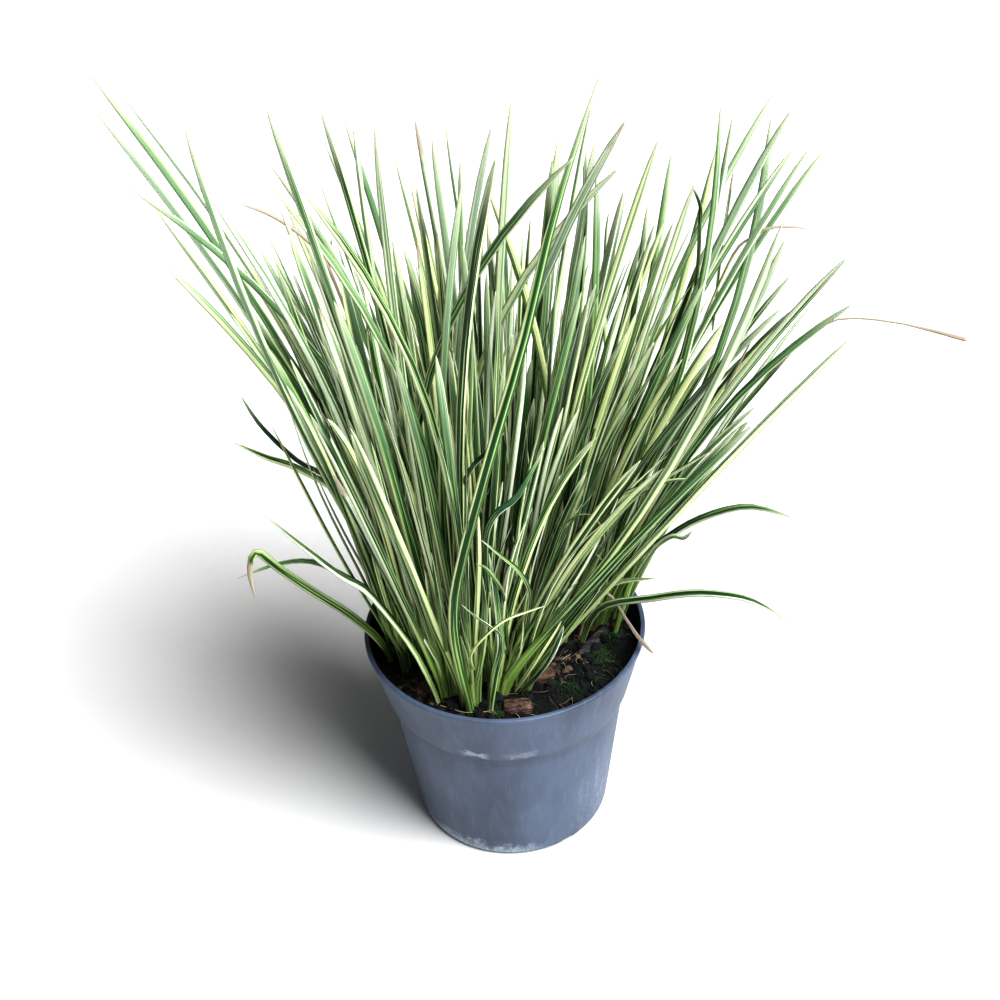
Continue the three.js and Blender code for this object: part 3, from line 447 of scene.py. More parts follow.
def blades(name, spine, side, width, thick, along, number, growth):
    """Flat closed strands: point = spine + side · across · width / 2 + face · through · thickness / 2,
    where face = tangent × side, and across and through go round a six-sided lens. Arrays are
    (leaves, stations, ...), and the last station is the tip's single point. Each point keeps (across,
    share of the length, leaf number) and growth."""
    foot = spine[:, 0]
    tip = spine[:, -1]
    tip_growth = growth[:, -1]
    tangent = unit(np.gradient(spine, axis=1))[:, :-1]
    spine, side, width, thick, along, growth = (
        part[:, :-1] for part in (spine, side, width, thick, along, growth))
    side = unit(side - tangent * dot(side, tangent))
    face = np.cross(tangent, side)
    rings = sections(
        spine, side, face, BLADE_ACROSS * width[..., None] / 2, BLADE_THROUGH * thick[..., None] / 2)
    values = {
        "blade": (
            stacked(BLADE_ACROSS, along[:, :, None], number[:, None, None]),
            stacked(0.0, 0.0, number),
            stacked(0.0, 1.0, number),
        ),
        "growth": (np.broadcast_to(growth[:, :, None], rings.shape), growth[:, 0], tip_growth),
    }
    return surface(name, rings, foot, tip, values)


# Where each leaf stands: the same steps, in the same order, as for the solids

def random_stream(seed):
    """Repeatable random numbers from 0 to 1: state = 16807 · state mod 2147483647."""
    state = (seed * 7919 + 104729) % 2147483647
    while True:
        state = (state * 16807) % 2147483647
        yield state / 2147483647


def stretch_gaps(p1, q1, p2, q2):
    """Shortest distances between straight stretches p1 to q1 and p2 to q2: the closest points of the two
    lines, each kept between its own ends."""
    d1 = q1 - p1
    d2 = q2 - p2
    r = p1 - p2
    a = dot(d1, d1)
    e = dot(d2, d2)
    b = dot(d1, d2)
    c = dot(d1, r)
    f = dot(d2, r)
    denominator = a * e - b * b
    level = denominator > 1e-9
    s = np.where(level, np.clip((b * f - c * e) / np.where(level, denominator, 1.0), 0.0, 1.0), 0.0)
    t = (b * s + f) / e
    s = np.where(t < 0, np.clip(-c / a, 0.0, 1.0), s)
    s = np.where(t > 1, np.clip((b - c) / a, 0.0, 1.0), s)
    t = np.clip(t, 0.0, 1.0)
    return np.linalg.norm(p1 + d1 * s - p2 - d2 * t, axis=-1)


def stretches(lines):
    """The straight stretches of a leaf's three lines, as starts, ends and whether each is the lowest."""
    starts = lines[:, :-1].reshape(-1, 3)
    ends = lines[:, 1:].reshape(-1, 3)
    lowest = np.tile(np.arange(lines.shape[1] - 1) == 0, len(lines))
    return starts, ends, lowest


def too_close(lines, others, low_gap, gap):
    """Whether a leaf comes nearer than a gap to others, with a gap of its own for the lowest stretches."""
    if not others:
        return False
    starts, ends, lowest = stretches(lines)
    other_starts, other_ends, other_lowest = (np.concatenate(column) for column in zip(*others))
    gaps = stretch_gaps(starts[:, None], ends[:, None], other_starts[None], other_ends[None])
    limits = np.where(lowest[:, None] | other_lowest[None], low_gap, gap)
    return bool(np.any(gaps < limits))


def leaf_lines(leaf):
    """Left edge, middle and right edge of a leaf: middle(s) = start + direction · s
    + rise · 2 · arch · s (1 − s / curve length), and the edges half a width away on either side."""
    inner = [0.18, 0.44, 0.74] if abs(leaf["arch"]) * leaf["curve_length"] > 30 else [0.24, 0.7]
    if leaf["stub"]:
        inner = []
    s = np.array([0.0, *inner, 1.0])[:, None] * leaf["length"]
    t = s / leaf["curve_length"]
    centre = leaf["start"] + leaf["direction"] * s + leaf["rise"] * 2 * leaf["arch"] * s * (1 - t)
    tangent = unit(leaf["direction"] + leaf["rise"] * 2 * leaf["arch"] * (1 - 2 * t))
    side = unit(leaf["across"] - tangent * dot(leaf["across"], tangent))
    turn = leaf["twist"] * s / leaf["length"]
    side = side * np.cos(turn) + np.cross(tangent, side) * np.sin(turn)
    taper = tapered(s / leaf["length"], SOLID_FULL_TO, 2)
    half = np.minimum(leaf["width"] * taper, CELL_WIDTH + leaf["room"] * s) / 2
    return np.stack([centre - side * half, centre, centre + side * half])


def fan_frame(row):
    """Where a fan stands: its sheath's foot and top, its middle direction, and the directions across and
    out of its plane."""
    x, y, tip_x, tip_y, tip_z, arch, count, spread, plane, width = row
    level = np.array([math.cos(math.radians(plane)), math.sin(math.radians(plane)), 0.0])
    lean = np.array([tip_x - x, tip_y - y, tip_z - SHEATH_TOP])
    shift = 0.6 * SHEATH_HEIGHT / lean[2]
    top = np.array([x + shift * lean[0], y + shift * lean[1], SHEATH_TOP])
    chord = np.array([tip_x, tip_y, tip_z]) - top
    length = np.linalg.norm(chord)
    middle = chord / length
    across = unit(level - middle * dot(level, middle))
    return {
        "foot": np.array([x, y, SHEATH_FOOT]), "top": top, "level": level, "length": length,
        "middle": middle, "across": across, "normal": np.cross(middle, across), "arch": arch,
        "spread": spread, "width": width, "leaves": [None] * count,
    }


def rise_of(direction):
    """The direction in which a leaf arches: upwards, square to the way it leans."""
    rise = UP - direction * direction[2]
    return rise / max(0.3, np.linalg.norm(rise))


def cell_of(fan, j):
    """What every leaf of a fan has from its cell of the sheath."""
    place = j - (len(fan["leaves"]) - 1) / 2
    return {
        "place": place,
        "start": fan["top"] + fan["level"] * place * CELL_WIDTH,
        "across": fan["across"],
        "room": math.radians(fan["spread"] - 0.9),
    }


def place_outer_leaf(row, number, fans):
    """Puts a leaf whose tip is given into its fan."""
    fan_number, j, tip_x, tip_y, tip_z, arch = row
    fan = fans[fan_number - 1]
    draw = random_stream(OUTER_SEED + number)
    r1 = next(draw)
    r2 = next(draw)
    cell = cell_of(fan, j)
    chord = np.array([tip_x, tip_y, tip_z]) - cell["start"]
    length = np.linalg.norm(chord)
    direction = chord / length
    fan["leaves"][j] = {
        **cell, "direction": direction, "rise": rise_of(direction), "arch": arch, "curve_length": length,
        "length": length, "twist": 0.8 * (r1 - 0.5), "width": fan["width"] * (0.86 + 0.24 * r2),
        "stub": False, "outer": True,
    }
    return stretches(leaf_lines(fan["leaves"][j]))


def fill_fan(fan, number, own, others):
    """The other leaves of a fan, each turned a little until it clears the leaves already standing."""
    draw = random_stream(number)
    rise = rise_of(fan["middle"])
    free = [j for j, leaf in enumerate(fan["leaves"]) if leaf is None]
    for j in free:
        cell = cell_of(fan, j)
        outer = abs(cell["place"]) / (len(fan["leaves"]) / 2)
        for attempt in range(TRIES):
            r = [next(draw) for _ in range(5)]
            angle = math.radians(fan["spread"] * cell["place"] + 0.8 * (r[0] - 0.5))
            flop = math.radians((5 + attempt) * (r[1] - 0.5) * 2)
            share = 0.95 - 0.25 * outer ** 1.5 - (0.2 + 0.03 * attempt) * r[2]
            stub = attempt == TRIES - 1
            direction = fan["middle"] * math.cos(angle) * math.cos(flop)
            direction = direction + fan["across"] * math.sin(angle) * math.cos(flop)
            direction = direction + fan["normal"] * math.sin(flop)
            leaf = {
                **cell, "direction": direction, "rise": rise, "arch": fan["arch"],
                "curve_length": fan["length"], "length": fan["length"] * (STUB_SHARE if stub else share),
                "twist": 0.9 * (r[3] - 0.5), "width": fan["width"] * (0.82 + 0.26 * r[4]),
                "stub": stub, "outer": False,
            }
            lines = leaf_lines(leaf)
            clear = not too_close(lines, others, LOW_NEIGHBOUR_GAP, NEIGHBOUR_GAP)
            if stub or (clear and not too_close(lines, own, 0.0, OWN_FAN_GAP)):
                fan["leaves"][j] = leaf
                break
    return [stretches(leaf_lines(fan["leaves"][j])) for j in free]


def course_point(points, at):
    """A smooth course through points at fractional positions: the uniform Catmull-Rom cubic."""
    i = np.minimum(np.floor(at).astype(int), len(points) - 2)
    t = (at - i)[:, None]
    a, b, c, d = (points[np.clip(i + k, 0, len(points) - 1)] for k in (-1, 0, 1, 2))
    cubic = (3 * b - a - 3 * c + d) * t ** 3
    return 0.5 * (2 * b + (c - a) * t + (2 * a - 5 * b + 4 * c - d) * t * t + cubic)


def lone_course(x, y, course):
    """All points of a single leaf's course, from its foot in the soil."""
    return np.array([[x, y, SHEATH_FOOT], [x, y, SOIL_LEVEL + 4], *course], dtype=float)


def lone_frame(points, at):
    """Middle points and side directions of a single leaf at positions along its course. Its flat face
    looks towards the front and up."""
    last = len(points) - 1
    centre = course_point(points, np.minimum(at, last))
    ahead = course_point(points, np.minimum(at + 0.1, last))
    behind = course_point(points, np.maximum(at - 0.1, 0))
    tangent = unit(ahead - behind)
    return centre, unit(np.cross(FACING, tangent))


def lone_lines(x, y, width, course):
    """The three lines of a single leaf's solid."""
    points = lone_course(x, y, course)
    steps = 2 * len(course) - 1
    k = np.arange(steps + 3)
    at = np.where(k < 2, k, 1 + (k - 1) / 2).astype(float)
    centre, side = lone_frame(points, at)
    t = at / (len(points) - 1)
    half = (width / 2 * np.minimum(1.0, 0.42 + 1.6 * t) * tapered(t, SOLID_FULL_TO, 1.7))[:, None]
    return np.stack([centre + side * half, centre, centre - side * half])


def place_all():
    """Every fan. The single leaves stand first, then the outer leaves of all fans, and then each fan is
    filled in turn."""
    fans = [fan_frame(row) for row in LEAF_FANS]
    standing = [(0, stretches(lone_lines(*row[1:]))) for row in LONE_LEAVES]
    for i, row in enumerate(OUTER_LEAVES):
        standing.append((row[0], place_outer_leaf(row, i + 1, fans)))
    for number, fan in enumerate(fans, 1):
        own = [lines for owner, lines in standing if owner == number]
        others = [lines for owner, lines in standing if owner != number]
        standing += [(number, lines) for lines in fill_fan(fan, number, own, others)]
    return fans


# Leaves

STATION_SHARES = np.array([0.12, 0.24, 0.36, 0.48, 0.6, 0.71, 0.81, 0.89, 0.95, 0.985, 1.0])
FOOT_SHARES = np.array([0.0, 0.16, 0.32, 0.48, 0.64, 0.82, 1.0])
FOOT_CURVE_TOP = 45.0
BLADE_THICKNESS = 1.25
YOUNG_LEAVES = 12
DRY_TIP_SHARE = 0.03
FAN_SEED = 4000
FOOT_SPACING = 0.84
LAYER_OFFSET = 0.55
STRAY_STATIONS = 21
LONE_STATIONS = 23
LONE_FULL_TO = 0.5
LONE_BLUNT = 3.6
LEAF_KEYS = (
    "start", "place", "direction", "rise", "arch", "curve_length", "length", "twist", "width", "outer")


def full_leaves(fan, chance):
    """Arrays of a fan's own leaves: where they start, how they run, and their sizes. A leaf whose tip is
    given is narrower than the others, and sways and droops less."""
    leaves = fan["leaves"]
    count = len(leaves)
    made = {key: np.array([leaf[key] for leaf in leaves], dtype=float) for key in LEAF_KEYS}
    stub = np.array([leaf["stub"] for leaf in leaves])
    outer = np.array([leaf["outer"] for leaf in leaves])
    calm = np.where(outer, 0.3, 1.0)
    sway = chance.uniform(-1.0, 1.0, (count, 4)) * np.array([3.0, 1.6, 2.0, 1.0])
    droop = np.where(chance.random(count) < 0.3, chance.uniform(4.0, 11.0, count), 1.5)
    made["length"] = np.where(stub, 0.42 * fan["length"], made["length"])
    made["twist"] = made["twist"] * 1.5
    made["width"] = made["width"] * np.where(stub, 0.5, np.where(outer, 0.7, 0.8))
    return {
        **made, "sway": sway * calm[:, None], "droop": droop * calm,
        "full_to": np.where(stub, 0.45, 0.6), "blunt": np.where(stub, 3.4, 8.0),
    }


def young_leaves(fan, chance):
    """Arrays of the short, thin leaves that come up inside a fan."""
    count = YOUNG_LEAVES
    half = len(fan["leaves"]) / 2 - 0.8
    place = chance.uniform(-half, half, count)
    angle = np.radians(fan["spread"] * place * 0.8 + chance.uniform(-4, 4, count))[:, None]
    flop = np.radians(chance.uniform(-11, 11, count))[:, None]
    direction = fan["middle"] * np.cos(angle) * np.cos(flop) + fan["across"] * np.sin(angle) * np.cos(flop)
    return {
        "start": fan["top"] + fan["level"] * place[:, None] * CELL_WIDTH,
        "place": place,
        "direction": unit(direction + fan["normal"] * np.sin(flop)),
        "rise": np.tile(rise_of(fan["middle"]), (count, 1)),
        "arch": fan["arch"] + chance.uniform(-0.03, 0.05, count),
        "curve_length": np.full(count, fan["length"]),
        "length": fan["length"] * (0.2 + 0.62 * chance.random(count) ** 1.4),
        "twist": chance.uniform(-1.2, 1.2, count),
        "width": chance.uniform(1.6, 3.5, count),
        "sway": chance.uniform(-1.0, 1.0, (count, 4)) * np.array([8.0, 3.0, 8.0, 3.0]),
        "droop": chance.uniform(0.0, 9.0, count),
        "outer": np.zeros(count),
        "full_to": np.full(count, 0.45),
        "blunt": np.full(count, 3.4),
    }


def free_course(leaves, s):
    """Points and slopes of leaves at distances s from the sheath's top: start + direction · s
    + rise · 2 · arch · s (1 − s / curve length)."""
    arch = 2 * leaves["arch"][:, None, None] * leaves["rise"][:, None]
    along = s[:, :, None]
    t = along / leaves["curve_length"][:, None, None]
    points = leaves["start"][:, None] + leaves["direction"][:, None] * along + arch * along * (1 - t)
    return points, leaves["direction"][:, None] + arch * (1 - 2 * t)


def fan_spines(fan, leaves):
    """Middle lines of a fan's leaves, with the distances above the sheath's top and the shares of the
    length at their points. From its foot each leaf follows a cubic Hermite curve out of the sheath, and
    above that its own free course, with a slow sway of a few millimetres, sin(πt) and sin(2πt), and a
    droop of t⁵ at the tip. Leaves next to each other lie in two layers."""
    length = leaves["length"][:, None]
    count = len(length)
    s = FOOT_CURVE_TOP + (length - FOOT_CURVE_TOP) * STATION_SHARES
    upper = free_course(leaves, s)[0]
    joint, slope = free_course(leaves, np.full((count, 1), FOOT_CURVE_TOP))
    feet = (fan["foot"] + fan["level"] * leaves["place"][:, None] * CELL_WIDTH * FOOT_SPACING)[:, None]
    sheath = leaves["start"][:, None] - feet
    reach = np.linalg.norm(sheath, axis=-1, keepdims=True) + FOOT_CURVE_TOP
    u = FOOT_SHARES[None, :, None]
    foot_curve = feet * (2 * u ** 3 - 3 * u ** 2 + 1) + joint * (3 * u ** 2 - 2 * u ** 3)
    foot_curve = foot_curve + reach * (unit(sheath) * (u ** 3 - 2 * u ** 2 + u) + slope * (u ** 3 - u ** 2))
    low = (u * reach - (reach - FOOT_CURVE_TOP))[:, :, 0]
    s = np.concatenate([low, s], axis=1)
    t = np.clip(s / length, 0.0, 1.0)
    sway = leaves["sway"]
    wave_face = sway[:, :1] * np.sin(np.pi * t) + sway[:, 1:2] * np.sin(2 * np.pi * t)
    wave_side = sway[:, 2:3] * np.sin(np.pi * t) * 0.6 + sway[:, 3:4] * np.sin(2 * np.pi * t) * 0.5
    spine = np.concatenate([foot_curve, upper], axis=1)
    spine = spine + fan["normal"] * wave_face[:, :, None] + fan["across"] * wave_side[:, :, None]
    spine = spine - UP * (leaves["droop"][:, None] * t ** 5)[:, :, None]
    layer = LAYER_OFFSET * (-1.0) ** np.arange(count)[:, None] * (1.0 - t)
    return spine + fan["normal"] * layer[:, :, None], s, t


def fan_piece(fan, index, material):
    """One fan: its own leaves and the young ones inside it. A leaf whose tip is given turns its face to
    the front between 0.15 and 0.6 of its length."""
    chance = np.random.default_rng(FAN_SEED + index)
    own = full_leaves(fan, chance)
    young = young_leaves(fan, chance)
    leaves = {key: np.concatenate([own[key], young[key]]) for key in own}
    count = len(leaves["length"])
    spine, s, t = fan_spines(fan, leaves)
    turn = (leaves["twist"][:, None] * t)[:, :, None]
    side = fan["across"] * np.cos(turn) + fan["normal"] * np.sin(turn)
    facing = front_sides(spine)
    facing = facing * np.sign(dot(facing, side))
    turned_front = (leaves["outer"][:, None] * ease(t, 0.15, 0.6))[:, :, None]
    side = unit(side * (1.0 - turned_front) + facing * turned_front)
    taper = tapered(t, leaves["full_to"][:, None], leaves["blunt"][:, None])
    width = np.minimum(leaves["width"][:, None] * taper, 4.3 + 0.02 * np.maximum(s, 0.0))
    thick = BLADE_THICKNESS * (0.35 + 0.65 * taper) * (1.0 - 0.3 * t)
    number = chance.random(count)
    tone = chance.random(count)
    dry = np.where(chance.random(count) < DRY_TIP_SHARE, chance.uniform(0.88, 0.98, count), 1.2)
    growth = stacked(np.clip(s / 100.0, 0.0, 4.0), tone[:, None], dry[:, None])
    made = blades(f"striped_fan_{index:02d}", spine, side, width, thick, t, number, growth)
    finish_piece(made, material, "leaf", f"leaf_fan_{index:02d}")


def lone_piece(row, index, material):
    """A single leaf on its own smooth course, full to half its length and then tapering. One is
    shrivelled to a thread beyond the point where it has dried, and the dead one is thin all along."""
    name, x, y, full_width, course = row
    dry, tone, stripes = LONE_LOOKS[name]
    points = lone_course(x, y, course)
    t = np.append(np.linspace(0.04, 0.985, LONE_STATIONS - 1), 1.0)
    spine, side = lone_frame(points, t * (len(points) - 1))
    taper = tapered(t, LONE_FULL_TO, LONE_BLUNT)
    width = 0.92 * full_width * np.minimum(1.0, 0.62 + 1.4 * t) * taper
    thick = BLADE_THICKNESS * (0.4 + 0.6 * taper)
    face = np.cross(unit(np.gradient(spine, axis=0)), side)
    curl = 0.9 * np.sin(3.0 * t + index)[:, None]
    if name == "thread_leaf_right":
        shrunk = ease(t, 0.62, 0.7)
        knob = ease(t, 0.92, 0.96) * (1.0 - ease(t, 0.98, 1.0))
        width = width * (1.0 - shrunk) + shrunk * (0.9 + 1.6 * knob)
        thick = thick * (1.0 - shrunk) + shrunk * 0.7
    if name == "dead_leaf_on_rim":
        width = full_width * (1.0 - 0.75 * ease(t, 0.86, 1.0)) * (0.85 + 0.3 * np.sin(9.0 * t))
        thick = np.full(LONE_STATIONS, 0.9)
        curl = 1.8 * np.sin(6.0 * t)[:, None]
    side = side * np.cos(0.5 * curl) + face * np.sin(0.5 * curl)
    growth = stacked(np.clip((t - 0.08) * 1.8, 0.0, 3.0), tone, dry)
    made = blades(f"striped_{name}", spine[None], side[None], width[None], thick[None], t[None],
                  np.array([stripes]), growth[None])
    slot = "dry_leaf" if name == "dead_leaf_on_rim" else "leaf"
    finish_piece(made, material, slot, name)


def stray_leaves(material):
    """Thin leaves that bend and cross between the fans, each on a smooth course through its points."""
    count = len(STRAY_LEAVES)
    t = np.append(np.linspace(0.0, 0.97, STRAY_STATIONS - 1), 1.0)
    spine = np.stack([
        course_point(np.array(points, dtype=float), t * (len(points) - 1))
        for _, _, _, points in STRAY_LEAVES])
    taper = np.minimum(1.0, 0.5 + 2.5 * t) * tapered(t, LONE_FULL_TO, LONE_BLUNT)
    full_width, dry, tone = (np.array(column)[:, None] for column in list(zip(*STRAY_LEAVES))[:3])
    along = np.tile(t, (count, 1))
    number = ((np.arange(count) + 7) % 17 + 0.03) / 17
    made = blades("stray_leaves", spine, front_sides(spine), full_width * taper, np.tile(taper, (count, 1)),
                  along, number, stacked(0.5 + 1.6 * along, tone, dry))
    finish_piece(made, material, "leaf")


# Pot

def rounded(corners):
    """A profile whose corners are quadratic Bézier arcs. Each corner is (radius, height, rounding), and
    the arc starts and ends that far from the corner along its two sides."""
    points = np.array([corner[:2] for corner in corners], dtype=float)
    made = [points[:1]]
    t = np.linspace(0.0, 1.0, ARC_POINTS)[:, None]
    for before, corner, after, (_, _, rounding) in zip(points, points[1:], points[2:], corners[1:-1]):
        start = corner + unit(before - corner) * rounding
        end = corner + unit(after - corner) * rounding
        made.append(start * (1 - t) ** 2 + corner * 2 * t * (1 - t) + end * t * t)
    made.append(points[-1:])
    return np.concatenate(made)


def inner_wall(gap):
    """The pot's inner wall from the floor's edge up to the lip, moved inwards by a gap."""
    return [
        (BASE_RADIUS - BASE_CORNER - gap, WALL + gap, 1.5),
        (BASE_RADIUS - WALL - 0.6 - gap, WALL + 5 + gap, 1.5),
        (COLLAR_LOW_RADIUS - STEP_DEPTH - WALL - gap, STEP_LEVEL + STEP_HEIGHT, 0.8),
        (COLLAR_LOW_RADIUS - WALL - gap, STEP_LEVEL + 2 * STEP_HEIGHT + 1, 0.8),
        (RIM_OUTER_RADIUS - WALL - 0.8 - gap, POT_HEIGHT - LIP_HEIGHT - 1, 0.8),
    ]


def pot_profile():
    """The pot's section from the middle of its base, out, up and over the lip, and down inside."""
    outer = [
        (0.0, 0.0, 0.0),
        (BASE_RADIUS - 0.6, 0.0, BASE_CORNER - 0.8),
        (COLLAR_LOW_RADIUS - STEP_DEPTH - 0.4, STEP_LEVEL - 3.5, 3.0),
        (COLLAR_LOW_RADIUS, STEP_LEVEL + STEP_HEIGHT, 1.2),
        (RIM_OUTER_RADIUS - 0.9, POT_HEIGHT - LIP_HEIGHT, 0.5),
        (RIM_OUTER_RADIUS, POT_HEIGHT - LIP_HEIGHT + 0.7, 0.5),
        (RIM_OUTER_RADIUS, POT_HEIGHT, 1.1),
        (RIM_OUTER_RADIUS - LIP_WIDTH, POT_HEIGHT, 0.9),
    ]
    return rounded([*outer, *inner_wall(0.0)[::-1], (0.0, WALL, 0.0)])


def split_long(profile, reach):
    """The profile with extra points on stretches that are longer than reach."""
    made = [profile[:1]]
    for start, end in zip(profile, profile[1:]):
        pieces = max(1, math.ceil(np.linalg.norm(end - start) / reach))
        t = np.arange(1, pieces + 1)[:, None] / pieces
        made.append(start + (end - start) * t)
    return np.concatenate(made)


def turned(name, profile, segments):
    """A closed surface of revolution: point = (r cos θ, r sin θ, z), with a pole at either end."""
    cosine, sine = circle(segments)
    r = profile[1:-1, 0][:, None]
    rings = stacked(r * cosine, r * sine, profile[1:-1, 1][:, None])
    foot = np.array([[0.0, 0.0, profile[0, 1]]])
    top = np.array([[0.0, 0.0, profile[-1, 1]]])
    return surface(name, rings[None], foot, top)


def prism(centre, reach, turn, height, sides):
    """Rings and poles of an upright prism: corners at centre + turned (a, b), from −height to +height."""
    a, b = np.array(sides, dtype=float).T * np.array(reach)[:, None]
    x, y = turned_about(*centre, turn, a, b)
    rings = np.stack([stacked(x, y, z) for z in (-height, height)])
    ends = [np.array([[centre[0], centre[1], z]]) for z in (-height, height)]
    return rings[None], *ends


def cut_out(made, rings, foot, top):
    """Takes a closed shape out of a mesh by a boolean difference, and keeps the result as its mesh."""
    cutter = surface("cutter", rings, foot, top)
    step = made.modifiers.new("cut", "BOOLEAN")
    step.operation = "DIFFERENCE"
    step.solver = "EXACT"
    step.object = cutter
    shaped = made.evaluated_get(bpy.context.evaluated_depsgraph_get())
    mesh = bpy.data.meshes.new_from_object(shaped)
    made.modifiers.clear()
    made.data = mesh
    bpy.data.objects.remove(cutter)


def pot_piece(material):
    """The pot: a smooth body of revolution with six drain holes and four drain notches."""
    made = turned("nursery_pot", split_long(pot_profile(), 6.0), POT_SEGMENTS)
    hole = np.stack(circle(24), axis=-1)
    for i in range(DRAIN_HOLE_COUNT):
        angle = 2 * math.pi * (i + 0.5) / DRAIN_HOLE_COUNT
        centre = (DRAIN_CIRCLE_RADIUS * math.cos(angle), DRAIN_CIRCLE_RADIUS * math.sin(angle))
        cut_out(made, *prism(centre, (DRAIN_HOLE_RADIUS, DRAIN_HOLE_RADIUS), 0.0, 4.0, hole))
    square = [(1, -1), (1, 1), (-1, 1), (-1, -1)]
    for degrees in NOTCH_DIRECTIONS_DEG:
        angle = math.radians(degrees)
        reach = BASE_RADIUS - 0.5
        centre = (reach * math.cos(angle), reach * math.sin(angle))
        cut_out(made, *prism(centre, (3.5, NOTCH_WIDTH / 2), angle, NOTCH_HEIGHT, square))
    made.data.set_sharp_from_angle(angle=math.radians(50))
    finish_piece(made, material, "pot_plastic", "pot")


# Soil and what lies in it

def soil_piece(material):
    """The soil: its sides follow the pot's wall, and its top is a polar grid whose height is the
    crumbly soil surface, blended down to the wall at its edge."""
    wall = inner_wall(SOIL_GAP)
    low = wall[3]
    high = wall[4]
    edge_height = SOIL_LEVEL - 4.0
    edge = low[0] + (high[0] - low[0]) * (edge_height - low[1]) / (high[1] - low[1])
    sides = split_long(np.array([(r, z) for r, z, _ in wall[:4]] + [(edge, edge_height)]), 12.0)
    cosine, sine = circle(SOIL_SEGMENTS)
    side_rings = [stacked(cosine * r, sine * r, z) for r, z in sides]
    radii = np.linspace(edge - 0.3, 0.8, SOIL_RINGS)
    x = radii[:, None] * cosine
    y = radii[:, None] * sine
    settle = ease(radii, 70.0, edge)[:, None]
    z = crumbly_height(x, y) * (1 - settle) + (edge_height + 0.5) * settle
    rings = np.concatenate([np.stack(side_rings), stacked(x, y, z)])
    foot = np.array([[0.0, 0.0, wall[0][1]]])
    top = np.array([[0.0, 0.0, float(crumbly_height(np.zeros(1), np.zeros(1))[0])]])
    made = surface("potting_soil", rings[None], foot, top)
    finish_piece(made, material, "soil", "soil")


def scattered(count, reach, chance):
    """Random places in a disc of that radius, even by area."""
    radius = reach * np.sqrt(chance.random(count))
    angle = chance.uniform(0, 2 * math.pi, count)
    return radius * np.cos(angle), radius * np.sin(angle)


def turned_axes(count, chance, tilt):
    """Random directions for lumps: level axes at random headings, tipped by up to tilt radians."""
    heading = chance.uniform(0, 2 * math.pi, count)
    tip = chance.uniform(-tilt, tilt, count)
    a = stacked(np.cos(heading) * np.cos(tip), np.sin(heading) * np.cos(tip), np.sin(tip))
    b = stacked(-np.sin(heading), np.cos(heading), 0.0)
    return a, b, np.cross(a, b)


def lumps(name, x, y, size, flat, sink, material, chance):
    """Many small broken lumps: three rings of six points, reach · (0.7 to 1.15) at random, on sizes
    (length, width, height) along axes turned at random, each sunk a little into the soil."""
    count = len(x)
    a, b, c = turned_axes(count, chance, 0.5)
    cosine, sine = circle(6)
    rise = np.array([-0.62, 0.05, 0.66])
    reach = np.array([0.74, 1.0, 0.7])
    jag = chance.uniform(0.7, 1.15, (count, 3, 6))
    local_a = reach[None, :, None] * cosine * jag
    local_b = reach[None, :, None] * sine * jag * 0.8
    local_c = (rise[None, :, None] + chance.uniform(-0.14, 0.14, (count, 3, 6))) * flat[:, None, None]
    middle = stacked(x, y, crumbly_height(x, y) + size * sink)
    scale = size[:, None, None, None]
    rings = middle[:, None, None] + scale * (
        local_a[..., None] * a[:, None, None] + local_b[..., None] * b[:, None, None]
        + local_c[..., None] * c[:, None, None])
    foot = middle - c * (size * flat)[:, None] * 0.95
    top = middle + c * (size * flat)[:, None] * 0.98
    made = grained(name, rings, foot, top, chance)
    made.data.shade_flat()
    finish_piece(made, material, "soil")


def threads(name, start, heading, length, radius, wander, lift, material, chance):
    """Loose fibres and roots that lie on the soil: each wanders by a slow random turn, heading + wander ·
    (sines of t), and stays just above the surface, with a four-sided section."""
    count = len(length)
    t = np.linspace(0.0, 1.0, THREAD_STATIONS)[None]
    phase = chance.uniform(0, 2 * math.pi, (count, 2))
    waves = np.sin(4.5 * t + phase[:, :1]) + 0.6 * np.sin(9.0 * t + phase[:, 1:])
    turn = heading[:, None] + wander * waves
    step = length[:, None] / (THREAD_STATIONS - 1)
    x = start[0][:, None] + np.cumsum(step * np.cos(turn), axis=1)
    y = start[1][:, None] + np.cumsum(step * np.sin(turn), axis=1)
    away = np.maximum(1.0, np.hypot(x, y) / THREAD_REACH)
    x = x / away
    y = y / away
    bend = lift[:, None] * np.sin(math.pi * t) * (1 + 0.5 * np.sin(7.0 * t + phase[:, :1]))
    z = soil_height(x, y) + 0.9 + radius[:, None] + bend
    spine = stacked(x, y, z)
    tangent = unit(np.gradient(spine, axis=1))
    side = unit(np.cross(tangent, UP))
    face = np.cross(side, tangent)
    thin = (radius[:, None] * (1.0 - 0.7 * t ** 3))[..., None]
    rings = sections(spine, side, face, thin * THREAD_ACROSS, thin * THREAD_THROUGH)
    finish_piece(grained(name, rings, spine[:, 0], spine[:, -1], chance), material, "soil")


